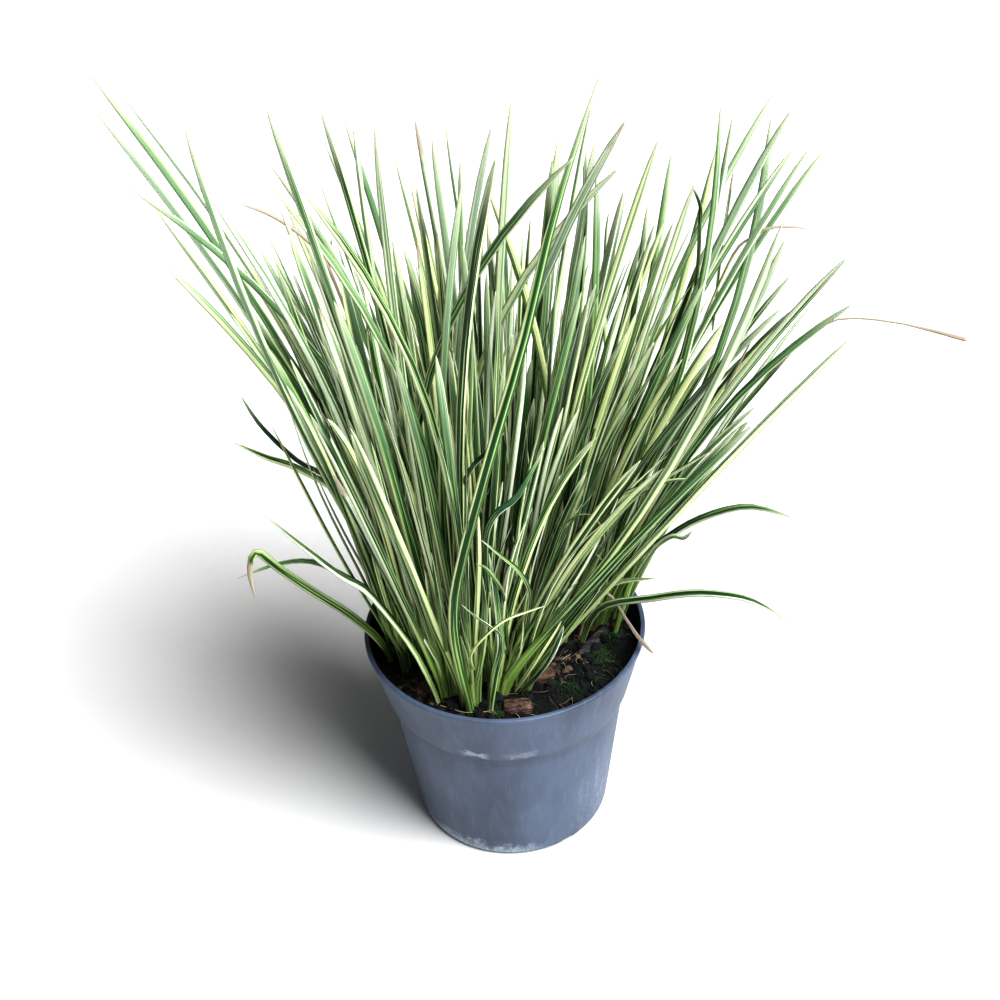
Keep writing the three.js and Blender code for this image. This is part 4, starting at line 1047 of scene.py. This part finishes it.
def moss_piece(material, chance):
    """Moss: hundreds of short pointed leaflets in cushions, each a three-sided cone that leans outwards
    from the middle of its cushion."""
    x, y = np.concatenate([
        [middle + reach * chance.normal(0, 0.42, count) for middle in (cx, cy)]
        for cx, cy, reach, count in MOSS_CUSHIONS], axis=1)
    inside = np.hypot(x, y) < MOSS_REACH
    x = x[inside]
    y = y[inside]
    count = len(x)
    base = stacked(x, y, crumbly_height(x, y) + 0.2)
    lean = np.concatenate([chance.normal(0, 0.5, (count, 2)), np.ones((count, 1))], axis=-1)
    height = chance.uniform(0.9, 2.6, count)[:, None]
    tip = base + unit(lean) * height
    level = stacked(*circle(3), 0.0)
    thick = chance.uniform(0.25, 0.55, count)[:, None, None]
    rings = np.stack([
        base[:, None] + level * thick,
        (base + tip)[:, None] / 2 + level * thick * 0.8,
    ], axis=1)
    finish_piece(grained("moss_cushions", rings, base - UP * 0.3, tip, chance), material, "soil")


def bark_piece(row, index, material):
    """A broken piece of bark: rings of a rounded rectangle, cos and sin to the power 0.6, with splits
    and ledges from lattice noise, sunk a little way into the soil."""
    name, x, y, length, width, height, degrees = row
    turn = math.radians(degrees)
    u = np.linspace(0.0, 1.0, BARK_RINGS)[:, None]
    profile = np.clip(1.0 - np.abs(2 * u - 0.95) ** 3.2, 0.0, 1.0) ** 0.5 * 0.55 + 0.42
    profile = profile * np.clip((1.0 - u) / 0.12, 0.35, 1.0)
    a, b = (
        np.sign(part) * np.abs(part) ** 0.6 * profile * reach / 2
        for part, reach in zip(circle(BARK_SEGMENTS), (length, width)))
    local = stacked(a, b, height * u)
    chips = lattice(local * np.array([0.45, 1.0, 1.6]), 3.0, BARK_CHIP_SEED + index) - 0.5
    rough = lattice(local, 1.3, BARK_ROUGH_SEED + index) - 0.5
    outward = unit(stacked(a / length, b / width, 0.0))
    local = local + outward * (chips * 1.9 + rough * 0.7)[..., None] * min(1.0, width / 10.0)
    local[..., 2] = local[..., 2] + (chips * 1.3 + rough * 0.5) * ease(u, 0.4, 1.0)
    foot_height = float(soil_height(np.array(x), np.array(y))) - 0.35 * height
    level = turned_about(x, y, turn, local[..., 0], local[..., 1])
    turned_points = stacked(*level, foot_height + np.clip(local[..., 2], 0.0, None))
    foot = np.array([[x, y, foot_height]])
    top = turned_points[-1].mean(axis=0)[None]
    made = surface(f"broken_{name}", turned_points[None], foot, top)
    made.data.set_sharp_from_angle(angle=math.radians(32))
    finish_piece(made, material, "bark", name)


# Materials

def tint(red, green, blue):
    """A display colour from 0 to 255 as a linear colour."""
    shares = np.array([red, green, blue]) / 255.0
    linear = np.where(shares <= 0.04045, shares / 12.92, ((shares + 0.055) / 1.055) ** 2.4)
    return (*[float(value) for value in linear], 1.0)


class Wiring:
    """Adds nodes to one tree. Most methods return the socket that carries their result."""

    def __init__(self, tree):
        self.tree = tree

    def put(self, socket, value):
        """Links a socket to another, or sets its own value."""
        if isinstance(value, bpy.types.NodeSocket):
            self.tree.links.new(value, socket)
        else:
            socket.default_value = value

    def node(self, kind, given, output=0, **settings):
        """One output of a new node. given maps its inputs to values or sockets, and settings are its own."""
        node = self.tree.nodes.new(kind)
        for key, value in settings.items():
            setattr(node, key, value)
        for key, value in given.items():
            self.put(node.inputs[key], value)
        return node.outputs[output]

    def maths(self, operation, a, b=0.0, clamp=False):
        """One arithmetic step on two numbers."""
        return self.node("ShaderNodeMath", {0: a, 1: b}, operation=operation, use_clamp=clamp)

    def times(self, a, b):
        """a · b."""
        return self.maths("MULTIPLY", a, b)

    def plus(self, a, b):
        """a + b."""
        return self.maths("ADD", a, b)

    def minus(self, a, b):
        """a − b."""
        return self.maths("SUBTRACT", a, b)

    def between(self, value, low, high, start=0.0, end=1.0):
        """A smooth step from start to end as value goes from low to high."""
        given = dict(enumerate((value, low, high, start, end)))
        return self.node("ShaderNodeMapRange", given, interpolation_type="SMOOTHSTEP")

    def mix(self, factor, a, b):
        """Two colours mixed by a factor."""
        return self.node("ShaderNodeMix", {0: factor, 6: a, 7: b}, 2, data_type="RGBA")

    def coated(self, colour, *coats):
        """A colour with coats over it in turn, each a mask and the coat's colour."""
        for mask, coat in coats:
            colour = self.mix(mask, colour, coat)
        return colour

    def noise(self, vector, scale, detail=2.0, rough=0.5):
        """Noise from 0 to 1."""
        given = {"Vector": vector, "Scale": scale, "Detail": detail, "Roughness": rough}
        return self.node("ShaderNodeTexNoise", given)

    def split(self, vector):
        """The three parts of a vector."""
        node = self.tree.nodes.new("ShaderNodeSeparateXYZ")
        self.put(node.inputs[0], vector)
        return node.outputs

    def vector(self, x, y, z):
        """A vector from three parts."""
        return self.node("ShaderNodeCombineXYZ", {0: x, 1: y, 2: z})

    def stretched(self, vector, scale):
        """A vector with each part multiplied."""
        return self.node("ShaderNodeVectorMath", {0: vector, 1: scale}, operation="MULTIPLY")

    def place(self):
        """The point in the object's own metres."""
        return self.node("ShaderNodeTexCoord", {}, "Object")

    def kept(self, name):
        """A quantity kept on the mesh's points."""
        return self.node("ShaderNodeAttribute", {}, "Vector", attribute_name=name)

    def group(self, tree, **given):
        """The result of a placed node group, which has one output."""
        return self.node("ShaderNodeGroup", given, node_tree=tree)

    def dress(self, shader, colour, height, strength, distance):
        """Gives a shader its colour, and its normal from a height."""
        self.put(shader["Base Color"], colour)
        given = {"Strength": strength, "Distance": distance, "Height": height}
        self.put(shader["Normal"], self.node("ShaderNodeBump", given, "Normal"))


SOCKET_KINDS = {"value": "NodeSocketFloat", "vector": "NodeSocketVector"}


def node_group(name, inputs, outputs):
    """An empty shader node group with named inputs and outputs, its wiring, and its two end nodes."""
    tree = bpy.data.node_groups.new(name, "ShaderNodeTree")
    for label, kind in inputs.items():
        tree.interface.new_socket(name=label, in_out="INPUT", socket_type=SOCKET_KINDS[kind])
    for label, kind in outputs.items():
        tree.interface.new_socket(name=label, in_out="OUTPUT", socket_type=SOCKET_KINDS[kind])
    given = tree.nodes.new("NodeGroupInput").outputs
    result = tree.nodes.new("NodeGroupOutput").inputs
    return tree, Wiring(tree), given, result


def patches_group():
    """Soft-edged patches: noise at a scale, turned into a mask between two levels."""
    inputs = {"Position": "vector", "Scale": "value", "Detail": "value", "Low": "value", "High": "value"}
    tree, wire, given, result = node_group("soft_patches", inputs, {"Mask": "value"})
    noise = wire.noise(given["Position"], given["Scale"], given["Detail"], 0.6)
    wire.put(result["Mask"], wire.between(noise, given["Low"], given["High"]))
    return tree


def veins_group():
    """Fine parallel lines along a blade: noise that is much finer across than along."""
    tree, wire, given, result = node_group(
        "leaf_veins", {"Blade": "vector", "Fineness": "value"}, {"Lines": "value"})
    across, along, number = wire.split(given["Blade"])
    shifted = wire.plus(wire.times(across, given["Fineness"]), wire.times(number, 71.0))
    at = wire.vector(shifted, wire.times(along, 2.2), wire.times(number, 13.0))
    wire.put(result["Lines"], wire.noise(at, 1.0, 2.0))
    return tree


def new_material(name, roughness):
    """A material with its wiring, its principled shader and an even roughness."""
    material = bpy.data.materials.new(name)
    material.use_nodes = True
    tree = material.node_tree
    shader = tree.nodes["Principled BSDF"]
    shader.inputs["Roughness"].default_value = roughness
    return material, Wiring(tree), shader.inputs


def slate_plastic(patches):
    """Dull slate-blue plastic, cloudy and scuffed, with painted shade under the step, stronger on the left,
    lime at the step and along the foot, and painted shade that makes the inside near black."""
    material, wire, shader = new_material("slate_plastic", 0.5)
    place = wire.place()
    x, y, z = wire.split(place)
    cloudy = wire.group(patches, Position=wire.stretched(place, (1.0, 1.0, 0.5)), Scale=22.0, Detail=4.0,
                        Low=0.3, High=0.72)
    streaky = wire.group(patches, Position=wire.stretched(place, (1.0, 1.0, 0.12)), Scale=240.0, Detail=3.0,
                         Low=0.5, High=0.75)
    speckled = wire.group(patches, Position=place, Scale=700.0, Detail=3.0, Low=0.52, High=0.62)
    ragged = wire.noise(place, 130.0, 6.0, 0.68)
    front = wire.between(y, 0.01, -0.03)
    step = STEP_LEVEL * MILLIMETRE
    # Painted shade: a darker band just under the step, stronger on the left side.
    painted_step_shade = wire.times(wire.between(z, step - 0.011, step), wire.between(z, step + 0.0025, step + 0.0015))
    painted_step_shade = wire.times(painted_step_shade, wire.between(x, 0.05, -0.01, 0.12, 0.5))
    rise = wire.minus(z, wire.times(ragged, 0.026))
    left_front = wire.times(wire.between(x, 0.025, -0.005), wire.between(x, -0.062, -0.045))
    foot = wire.times(wire.between(rise, 0.0, -0.009), wire.times(front, left_front))
    step_gap = wire.maths("ABSOLUTE", wire.minus(z, step + 0.006))
    at_step = wire.between(wire.plus(step_gap, wire.times(ragged, 0.02)), 0.0135, 0.0105)
    near_patch = wire.times(wire.between(x, -0.012, -0.019), wire.between(x, -0.033, -0.027))
    far_patch = wire.times(wire.between(x, 0.018, 0.01), wire.between(x, -0.008, 0.0, 0.0, 0.4))
    on_step = wire.times(wire.times(wire.maths("MAXIMUM", near_patch, far_patch), front), at_step)
    right = wire.times(wire.between(x, 0.03, 0.055), wire.between(z, 0.09, 0.03))
    scuffed = wire.plus(wire.times(streaky, 0.5), wire.times(speckled, 0.5))
    washed = wire.times(wire.times(right, front), scuffed)
    lime = wire.times(wire.maths("MAXIMUM", foot, on_step), wire.plus(wire.times(speckled, 0.5), 0.5))
    lime = wire.maths("MAXIMUM", lime, wire.times(washed, 0.42), clamp=True)
    radius = wire.maths("SQRT", wire.plus(wire.times(x, x), wire.times(y, y)))
    lean = wire.times(wire.minus(z, COLLAR_MIDDLE_LEVEL * MILLIMETRE), COLLAR_SLOPE)
    wall = wire.plus(COLLAR_MIDDLE_RADIUS * MILLIMETRE, lean)
    # Painted shade: the inside of the wall, below the lip, turns near black.
    inside = wire.between(wire.minus(wall, radius), 0.0006, 0.001)
    inside = wire.times(inside, wire.between(z, 0.1375, 0.1345))
    colour = wire.coated(
        wire.mix(cloudy, tint(75, 86, 105), tint(99, 112, 134)),
        (wire.times(streaky, 0.16), tint(134, 148, 170)),
        # Painted shade under the step.
        (painted_step_shade, tint(52, 60, 78)),
        # Painted shade inside the pot.
        (wire.times(inside, 0.85), tint(12, 16, 26)),
        (lime, tint(196, 208, 218)))
    wire.put(shader["Roughness"], wire.plus(0.44, wire.times(lime, 0.4)))
    height = wire.plus(wire.times(wire.noise(place, 900.0, 2.0), 0.35), wire.times(lime, 0.6))
    wire.dress(shader, colour, height, 0.25, 0.0003)
    return material


def earth(name, patches, dark, light, green):
    """Crumbly earth in two dark tints, with a green film in patches."""
    material, wire, shader = new_material(name, 0.92)
    place = wire.place()
    coarse = wire.group(patches, Position=place, Scale=260.0, Detail=4.0, Low=0.4, High=0.7)
    colour = wire.mix(coarse, dark, light)
    film = wire.group(patches, Position=place, Scale=55.0, Detail=3.0, Low=0.5, High=0.68)
    x, y, _ = wire.split(place)
    mossy_side = wire.times(wire.between(x, 0.01, 0.04), wire.between(y, 0.0, -0.02))
    film = wire.times(film, wire.plus(wire.times(mossy_side, 0.65), 0.12))
    wire.dress(shader, wire.mix(film, colour, green), wire.noise(place, 900.0, 5.0, 0.7), 0.8, 0.0012)
    return material


def crumb_mix(patches):
    """Loose crumbs: most near black or slate, a few brown or green, with a rough broken face."""
    material, wire, shader = new_material("crumb_mix", 0.9)
    first, second, third = wire.split(wire.kept("grain"))
    place = wire.place()
    worn = wire.group(patches, Position=place, Scale=600.0, Detail=3.0, Low=0.35, High=0.7)
    colour = wire.coated(
        wire.mix(first, tint(6, 8, 9), tint(28, 34, 37)),
        (wire.between(second, 0.93, 0.97), tint(92, 62, 48)),
        (wire.between(third, 0.7, 0.9, 0.0, 0.7), tint(24, 54, 38)),
        (wire.times(worn, 0.25), tint(48, 52, 50)))
    wire.dress(shader, colour, wire.noise(place, 1100.0, 4.0, 0.7), 0.7, 0.0008)
    return material


def bark(name, patches, dark, light):
    """Bark in two colours, layered along its grain, with a rough and splintery surface."""
    material, wire, shader = new_material(name, 0.85)
    place = wire.place()
    layered = wire.noise(wire.stretched(place, (0.5, 1.0, 2.4)), 420.0, 5.0, 0.65)
    patchy = wire.group(patches, Position=place, Scale=180.0, Detail=4.0, Low=0.35, High=0.7)
    colour = wire.mix(wire.between(layered, 0.35, 0.68), dark, light)
    wire.dress(shader, wire.mix(wire.times(patchy, 0.6), colour, dark), layered, 0.9, 0.0014)
    return material


def speckled_tint(name, dark, light, roughness):
    """A colour that differs from one small piece to the next, for moss, roots and litter."""
    material, wire, shader = new_material(name, roughness)
    first, _, _ = wire.split(wire.kept("grain"))
    along = wire.noise(wire.place(), 350.0, 3.0)
    colour = wire.coated(wire.mix(first, dark, light), (wire.between(along, 0.45, 0.75, 0.0, 0.5), dark))
    wire.dress(shader, colour, along, 0.4, 0.0004)
    return material


def leaf_flesh(veins):
    """Green leaf with a cream margin on one side, thin cream and pale green lines, painted shade on the
    lower part with a pale foot, painted light that makes the upper part paler, a pale tip that is
    partly painted light, thin dark edges and, on some leaves, a dry brown tip. Every share differs
    from leaf to leaf."""
    material, wire, shader = new_material("striped_leaf", 0.48)
    blade = wire.kept("blade")
    across, along, number = wire.split(blade)
    height, tone, dry = wire.split(wire.kept("growth"))

    def chance(factor):
        """A share from 0 to 1 that differs from leaf to leaf: leaf number · factor, less its whole part."""
        return wire.maths("FRACT", wire.times(number, factor))

    flipped = wire.times(wire.maths("GREATER_THAN", chance(113.0), 0.5), 2.0)
    across = wire.times(across, wire.minus(flipped, 1.0))
    drift_at = wire.vector(wire.times(number, 37.0), wire.times(along, 2.6), 0.0)
    drift = wire.minus(wire.noise(drift_at, 1.0, 2.0), 0.5)
    swayed = wire.plus(across, wire.times(drift, 0.9))
    margin = wire.between(chance(57.0), 0.0, 1.0, -0.42, 0.78)
    far_margin = wire.between(chance(29.0), 0.3, 1.0, 0.6, 1.2)
    cream_side = wire.between(wire.minus(swayed, margin), 0.0, 0.16)
    thin_side = wire.between(wire.plus(swayed, far_margin), 0.0, -0.14)
    striped = wire.maths("MAXIMUM", cream_side, thin_side)
    broad = wire.group(veins, Blade=blade, Fineness=3.4)
    fine = wire.group(veins, Blade=blade, Fineness=9.0)
    lines = wire.between(broad, 0.52, 0.58)
    hairlines = wire.between(fine, 0.56, 0.66)
    # Painted light: on some leaves the green turns paler on the higher parts.
    painted_upper_light = wire.times(wire.between(height, 1.2, 3.0), wire.between(tone, 0.22, 0.5, 0.0, 0.74))
    green = wire.coated(
        wire.mix(wire.between(tone, 0.1, 0.78), tint(24, 60, 28), tint(68, 122, 58)),
        (wire.between(tone, 0.78, 0.92, 0.0, 0.75), tint(20, 76, 62)),
        (wire.between(broad, 0.35, 0.46, 0.55, 0.0), tint(16, 44, 22)),
        # Painted shade: the green darkens towards the foot of the leaf.
        (wire.between(height, 0.2, 2.8, 0.7, 0.0), tint(10, 27, 11)),
        # Painted light on the higher parts.
        (painted_upper_light, tint(142, 174, 138)),
        (wire.times(lines, 0.85), tint(174, 206, 142)),
        (wire.times(hairlines, 0.35), tint(178, 206, 150)))
    cream = wire.coated(
        wire.mix(wire.between(chance(83.0), 0.2, 0.9), tint(238, 246, 194), tint(244, 250, 234)),
        (wire.between(along, 0.1, 0.62, 0.85, 0.0), tint(206, 220, 156)),
        (wire.between(fine, 0.46, 0.4, 0.0, 0.6), tint(132, 168, 84)))
    # Painted shade: the lower part of about half the leaves turns dark green.
    painted_low_shade = wire.times(wire.between(height, 1.9, 0.3, 0.0, 0.42), wire.between(chance(23.0), 0.4, 0.5))
    foot = wire.between(height, 0.7, 0.0, 0.0, wire.between(chance(41.0), 0.3, 0.9, 0.2, 0.75))
    pale = wire.between(chance(17.0), 0.45, 0.9, 0.06, 0.8)
    # Painted light: the higher parts turn pale, near white, more on the cream stripes.
    upper = wire.times(wire.between(height, 1.2, 3.2), pale)
    upper = wire.times(upper, wire.between(striped, 0.0, 1.0, 0.4, 1.0))
    edges = wire.between(wire.maths("ABSOLUTE", across), 0.8, 0.98, 0.0, 0.5)
    past_dry = wire.minus(wire.plus(along, wire.times(wire.minus(fine, 0.5), 0.06)), dry)
    dry_rim = wire.between(wire.maths("ABSOLUTE", past_dry), 0.008, 0.002, 0.0, 0.35)
    straw = wire.mix(broad, tint(146, 134, 118), tint(214, 204, 186))
    colour = wire.coated(
        green,
        (striped, cream),
        # Painted shade on the lower part.
        (painted_low_shade, tint(34, 64, 32)),
        (foot, tint(164, 198, 104)),
        # Painted light on the upper part.
        (upper, tint(218, 230, 212)),
        # The tip's own paleness with painted light added: the last part of the leaf turns pale.
        (wire.between(along, 0.86, 1.0, 0.0, 0.7), tint(220, 228, 200)),
        (edges, tint(78, 104, 66)),
        (wire.between(past_dry, 0.0, 0.02), straw),
        (dry_rim, tint(70, 62, 44)))
    ridges = wire.plus(wire.times(broad, 0.6), wire.times(fine, 0.5))
    wire.dress(shader, colour, ridges, 0.35, 0.0008)
    shader["Specular IOR Level"].default_value = 0.2
    return material


def dead_flesh(veins):
    """A dead leaf: grey straw with dark lines and a wrinkled surface."""
    material, wire, shader = new_material("dry_leaf", 0.75)
    blade = wire.kept("blade")
    broad = wire.group(veins, Blade=blade, Fineness=3.0)
    fine = wire.group(veins, Blade=blade, Fineness=8.0)
    colour = wire.coated(
        wire.mix(wire.between(broad, 0.38, 0.62), tint(148, 134, 124), tint(226, 218, 206)),
        (wire.between(fine, 0.5, 0.4, 0.0, 0.6), tint(74, 60, 48)))
    wire.dress(shader, colour, fine, 0.6, 0.001)
    return material


# Making everything

veins = veins_group()
patches = patches_group()
leaf_material = leaf_flesh(veins)
dead_material = dead_flesh(veins)
crumb_material = crumb_mix(patches)
root_material = speckled_tint("pale_root", tint(112, 94, 72), tint(196, 176, 146), 0.7)
litter_material = speckled_tint("brown_litter", tint(46, 36, 30), tint(126, 106, 92), 0.85)
moss_material = speckled_tint("moss_green", tint(20, 42, 26), tint(66, 98, 50), 0.8)
grey_bark = bark("grey_bark", patches, tint(40, 42, 44), tint(104, 102, 98))
brown_bark = bark("brown_bark", patches, tint(56, 42, 36), tint(146, 118, 104))

for number, fan in enumerate(place_all(), start=1):
    fan_piece(fan, number, leaf_material)
for number, row in enumerate(LONE_LEAVES):
    lone_piece(row, number, dead_material if row[0] == "dead_leaf_on_rim" else leaf_material)

stray_leaves(leaf_material)
pot_piece(slate_plastic(patches))
soil_piece(earth("potting_mix", patches, tint(5, 8, 9), tint(20, 26, 27), tint(22, 46, 32)))

chance = np.random.default_rng(LOOSE_SEED)
x, y = scattered(FINE_CRUMBS, FINE_REACH, chance)
size = chance.lognormal(-0.1, 0.42, FINE_CRUMBS)
flat = chance.uniform(0.5, 0.9, FINE_CRUMBS)
lumps("soil_crumbs", x, y, size, flat, 0.25, crumb_material, chance)
x, y = scattered(COARSE_CRUMBS, COARSE_REACH, chance)
size = chance.uniform(2.2, 4.6, COARSE_CRUMBS)
flat = chance.uniform(0.35, 0.75, COARSE_CRUMBS)
lumps("coarse_crumbs", x, y, size, flat, 0.25, crumb_material, chance)

litter_chance = np.random.default_rng(LITTER_SEED)
heap_x, heap_y, heap_counts = zip(*LITTER_HEAPS)
x, y = (
    np.repeat(middle, heap_counts) + litter_chance.normal(0, LITTER_SPREAD, sum(heap_counts))
    for middle in (heap_x, heap_y))
inside = np.hypot(x, y) < LITTER_REACH
count = np.count_nonzero(inside)
size = litter_chance.uniform(1.2, 3.2, count)
flat = litter_chance.uniform(0.25, 0.45, count)
lumps("brown_litter", x[inside], y[inside], size, flat, 0.35, litter_material, litter_chance)

start = scattered(FIBRES, FIBRE_REACH, chance)
heading, length, radius, lift = (
    chance.uniform(low, high, FIBRES)
    for low, high in [(0, 2 * math.pi), (5, 20), (0.1, 0.26), (0.0, 1.6)])
threads("soil_fibres", start, heading, length, radius, 0.5, lift, root_material, chance)
x, y, heading, length, radius, lift = LONG_ROOT
threads("long_root", (x, y), heading, length, radius, 0.25, lift, root_material, chance)
moss_piece(moss_material, chance)
for number, row in enumerate(BARK):
    bark_piece(row, number, grey_bark if row[0] == "bark_stick" else brown_bark)


# Floor, light and camera

FLOOR_REACH = 4.0
WORLD_STRENGTH = 0.16
LIGHT_TARGET = np.array([0.0, 0.0, 0.2])
VIEW_GAMMA = 0.7

# Area lights: name, power, size, place.
LIGHTS = [
    ("key", 740.0, 3.8, (2.45, -2.05, 4.65)),
    ("fill", 0.6, 1.6, (-1.6, -0.8, 1.3)),
]

CAMERA_PLACE = (0.0, -0.83144, 0.86021)
CAMERA_RIGHT = np.array([0.99814, -0.03806, -0.04761])
CAMERA_UP = np.array([0.06093, 0.60061, 0.79722])
FOCAL_PIXELS = 1813.0
FRAME_PIXELS = 1000.0
SENSOR_WIDTH = 36.0


def floor():
    """A plain pale floor that the pot stands on."""
    mesh = bpy.data.meshes.new("floor")
    corners = [(FLOOR_REACH * x, FLOOR_REACH * y, 0.0) for x, y in [(-1, -1), (1, -1), (1, 1), (-1, 1)]]
    mesh.from_pydata(corners, [], [(0, 1, 2, 3)])
    material, _, shader = new_material("pale_floor", 0.8)
    shader["Base Color"].default_value = tint(232, 232, 232)
    shader["Specular IOR Level"].default_value = 0.1
    mesh.materials.append(material)
    added("floor", mesh)


def stand(name, data, right, back, place):
    """A light or a camera at a place, with its own axes to the right and back."""
    made = added(name, data)
    matrix = np.eye(4)
    matrix[:3, :3] = np.stack([right, np.cross(back, right), back], axis=1)
    matrix[:3, 3] = place
    made.matrix_world = Matrix(matrix.tolist())
    return made


def studio():
    """Soft light from all round, a large soft light over the right shoulder and a weak one at the left.
    Both area lights are square and turned towards the plant."""
    world = bpy.data.worlds.new("pale_studio")
    world.use_nodes = True
    background = world.node_tree.nodes["Background"]
    background.inputs["Color"].default_value = (1.0, 1.0, 1.0, 1.0)
    background.inputs["Strength"].default_value = WORLD_STRENGTH
    bpy.context.scene.world = world
    for name, power, size, place in LIGHTS:
        data = bpy.data.lights.new(name, "AREA")
        data.energy = power
        data.size = size
        away = unit(np.array(place) - LIGHT_TARGET)
        stand(name, data, unit(np.cross(UP, away)), away, place)


def view():
    """The camera, where the front view was taken from."""
    data = bpy.data.cameras.new("view")
    data.sensor_width = SENSOR_WIDTH
    data.lens = SENSOR_WIDTH * FOCAL_PIXELS / FRAME_PIXELS
    right = unit(CAMERA_RIGHT)
    back = unit(np.cross(right, CAMERA_UP))
    bpy.context.scene.camera = stand("view", data, right, back, CAMERA_PLACE)


floor()
studio()
view()
bpy.context.scene.view_settings.view_transform = "Standard"
bpy.context.scene.view_settings.gamma = VIEW_GAMMA
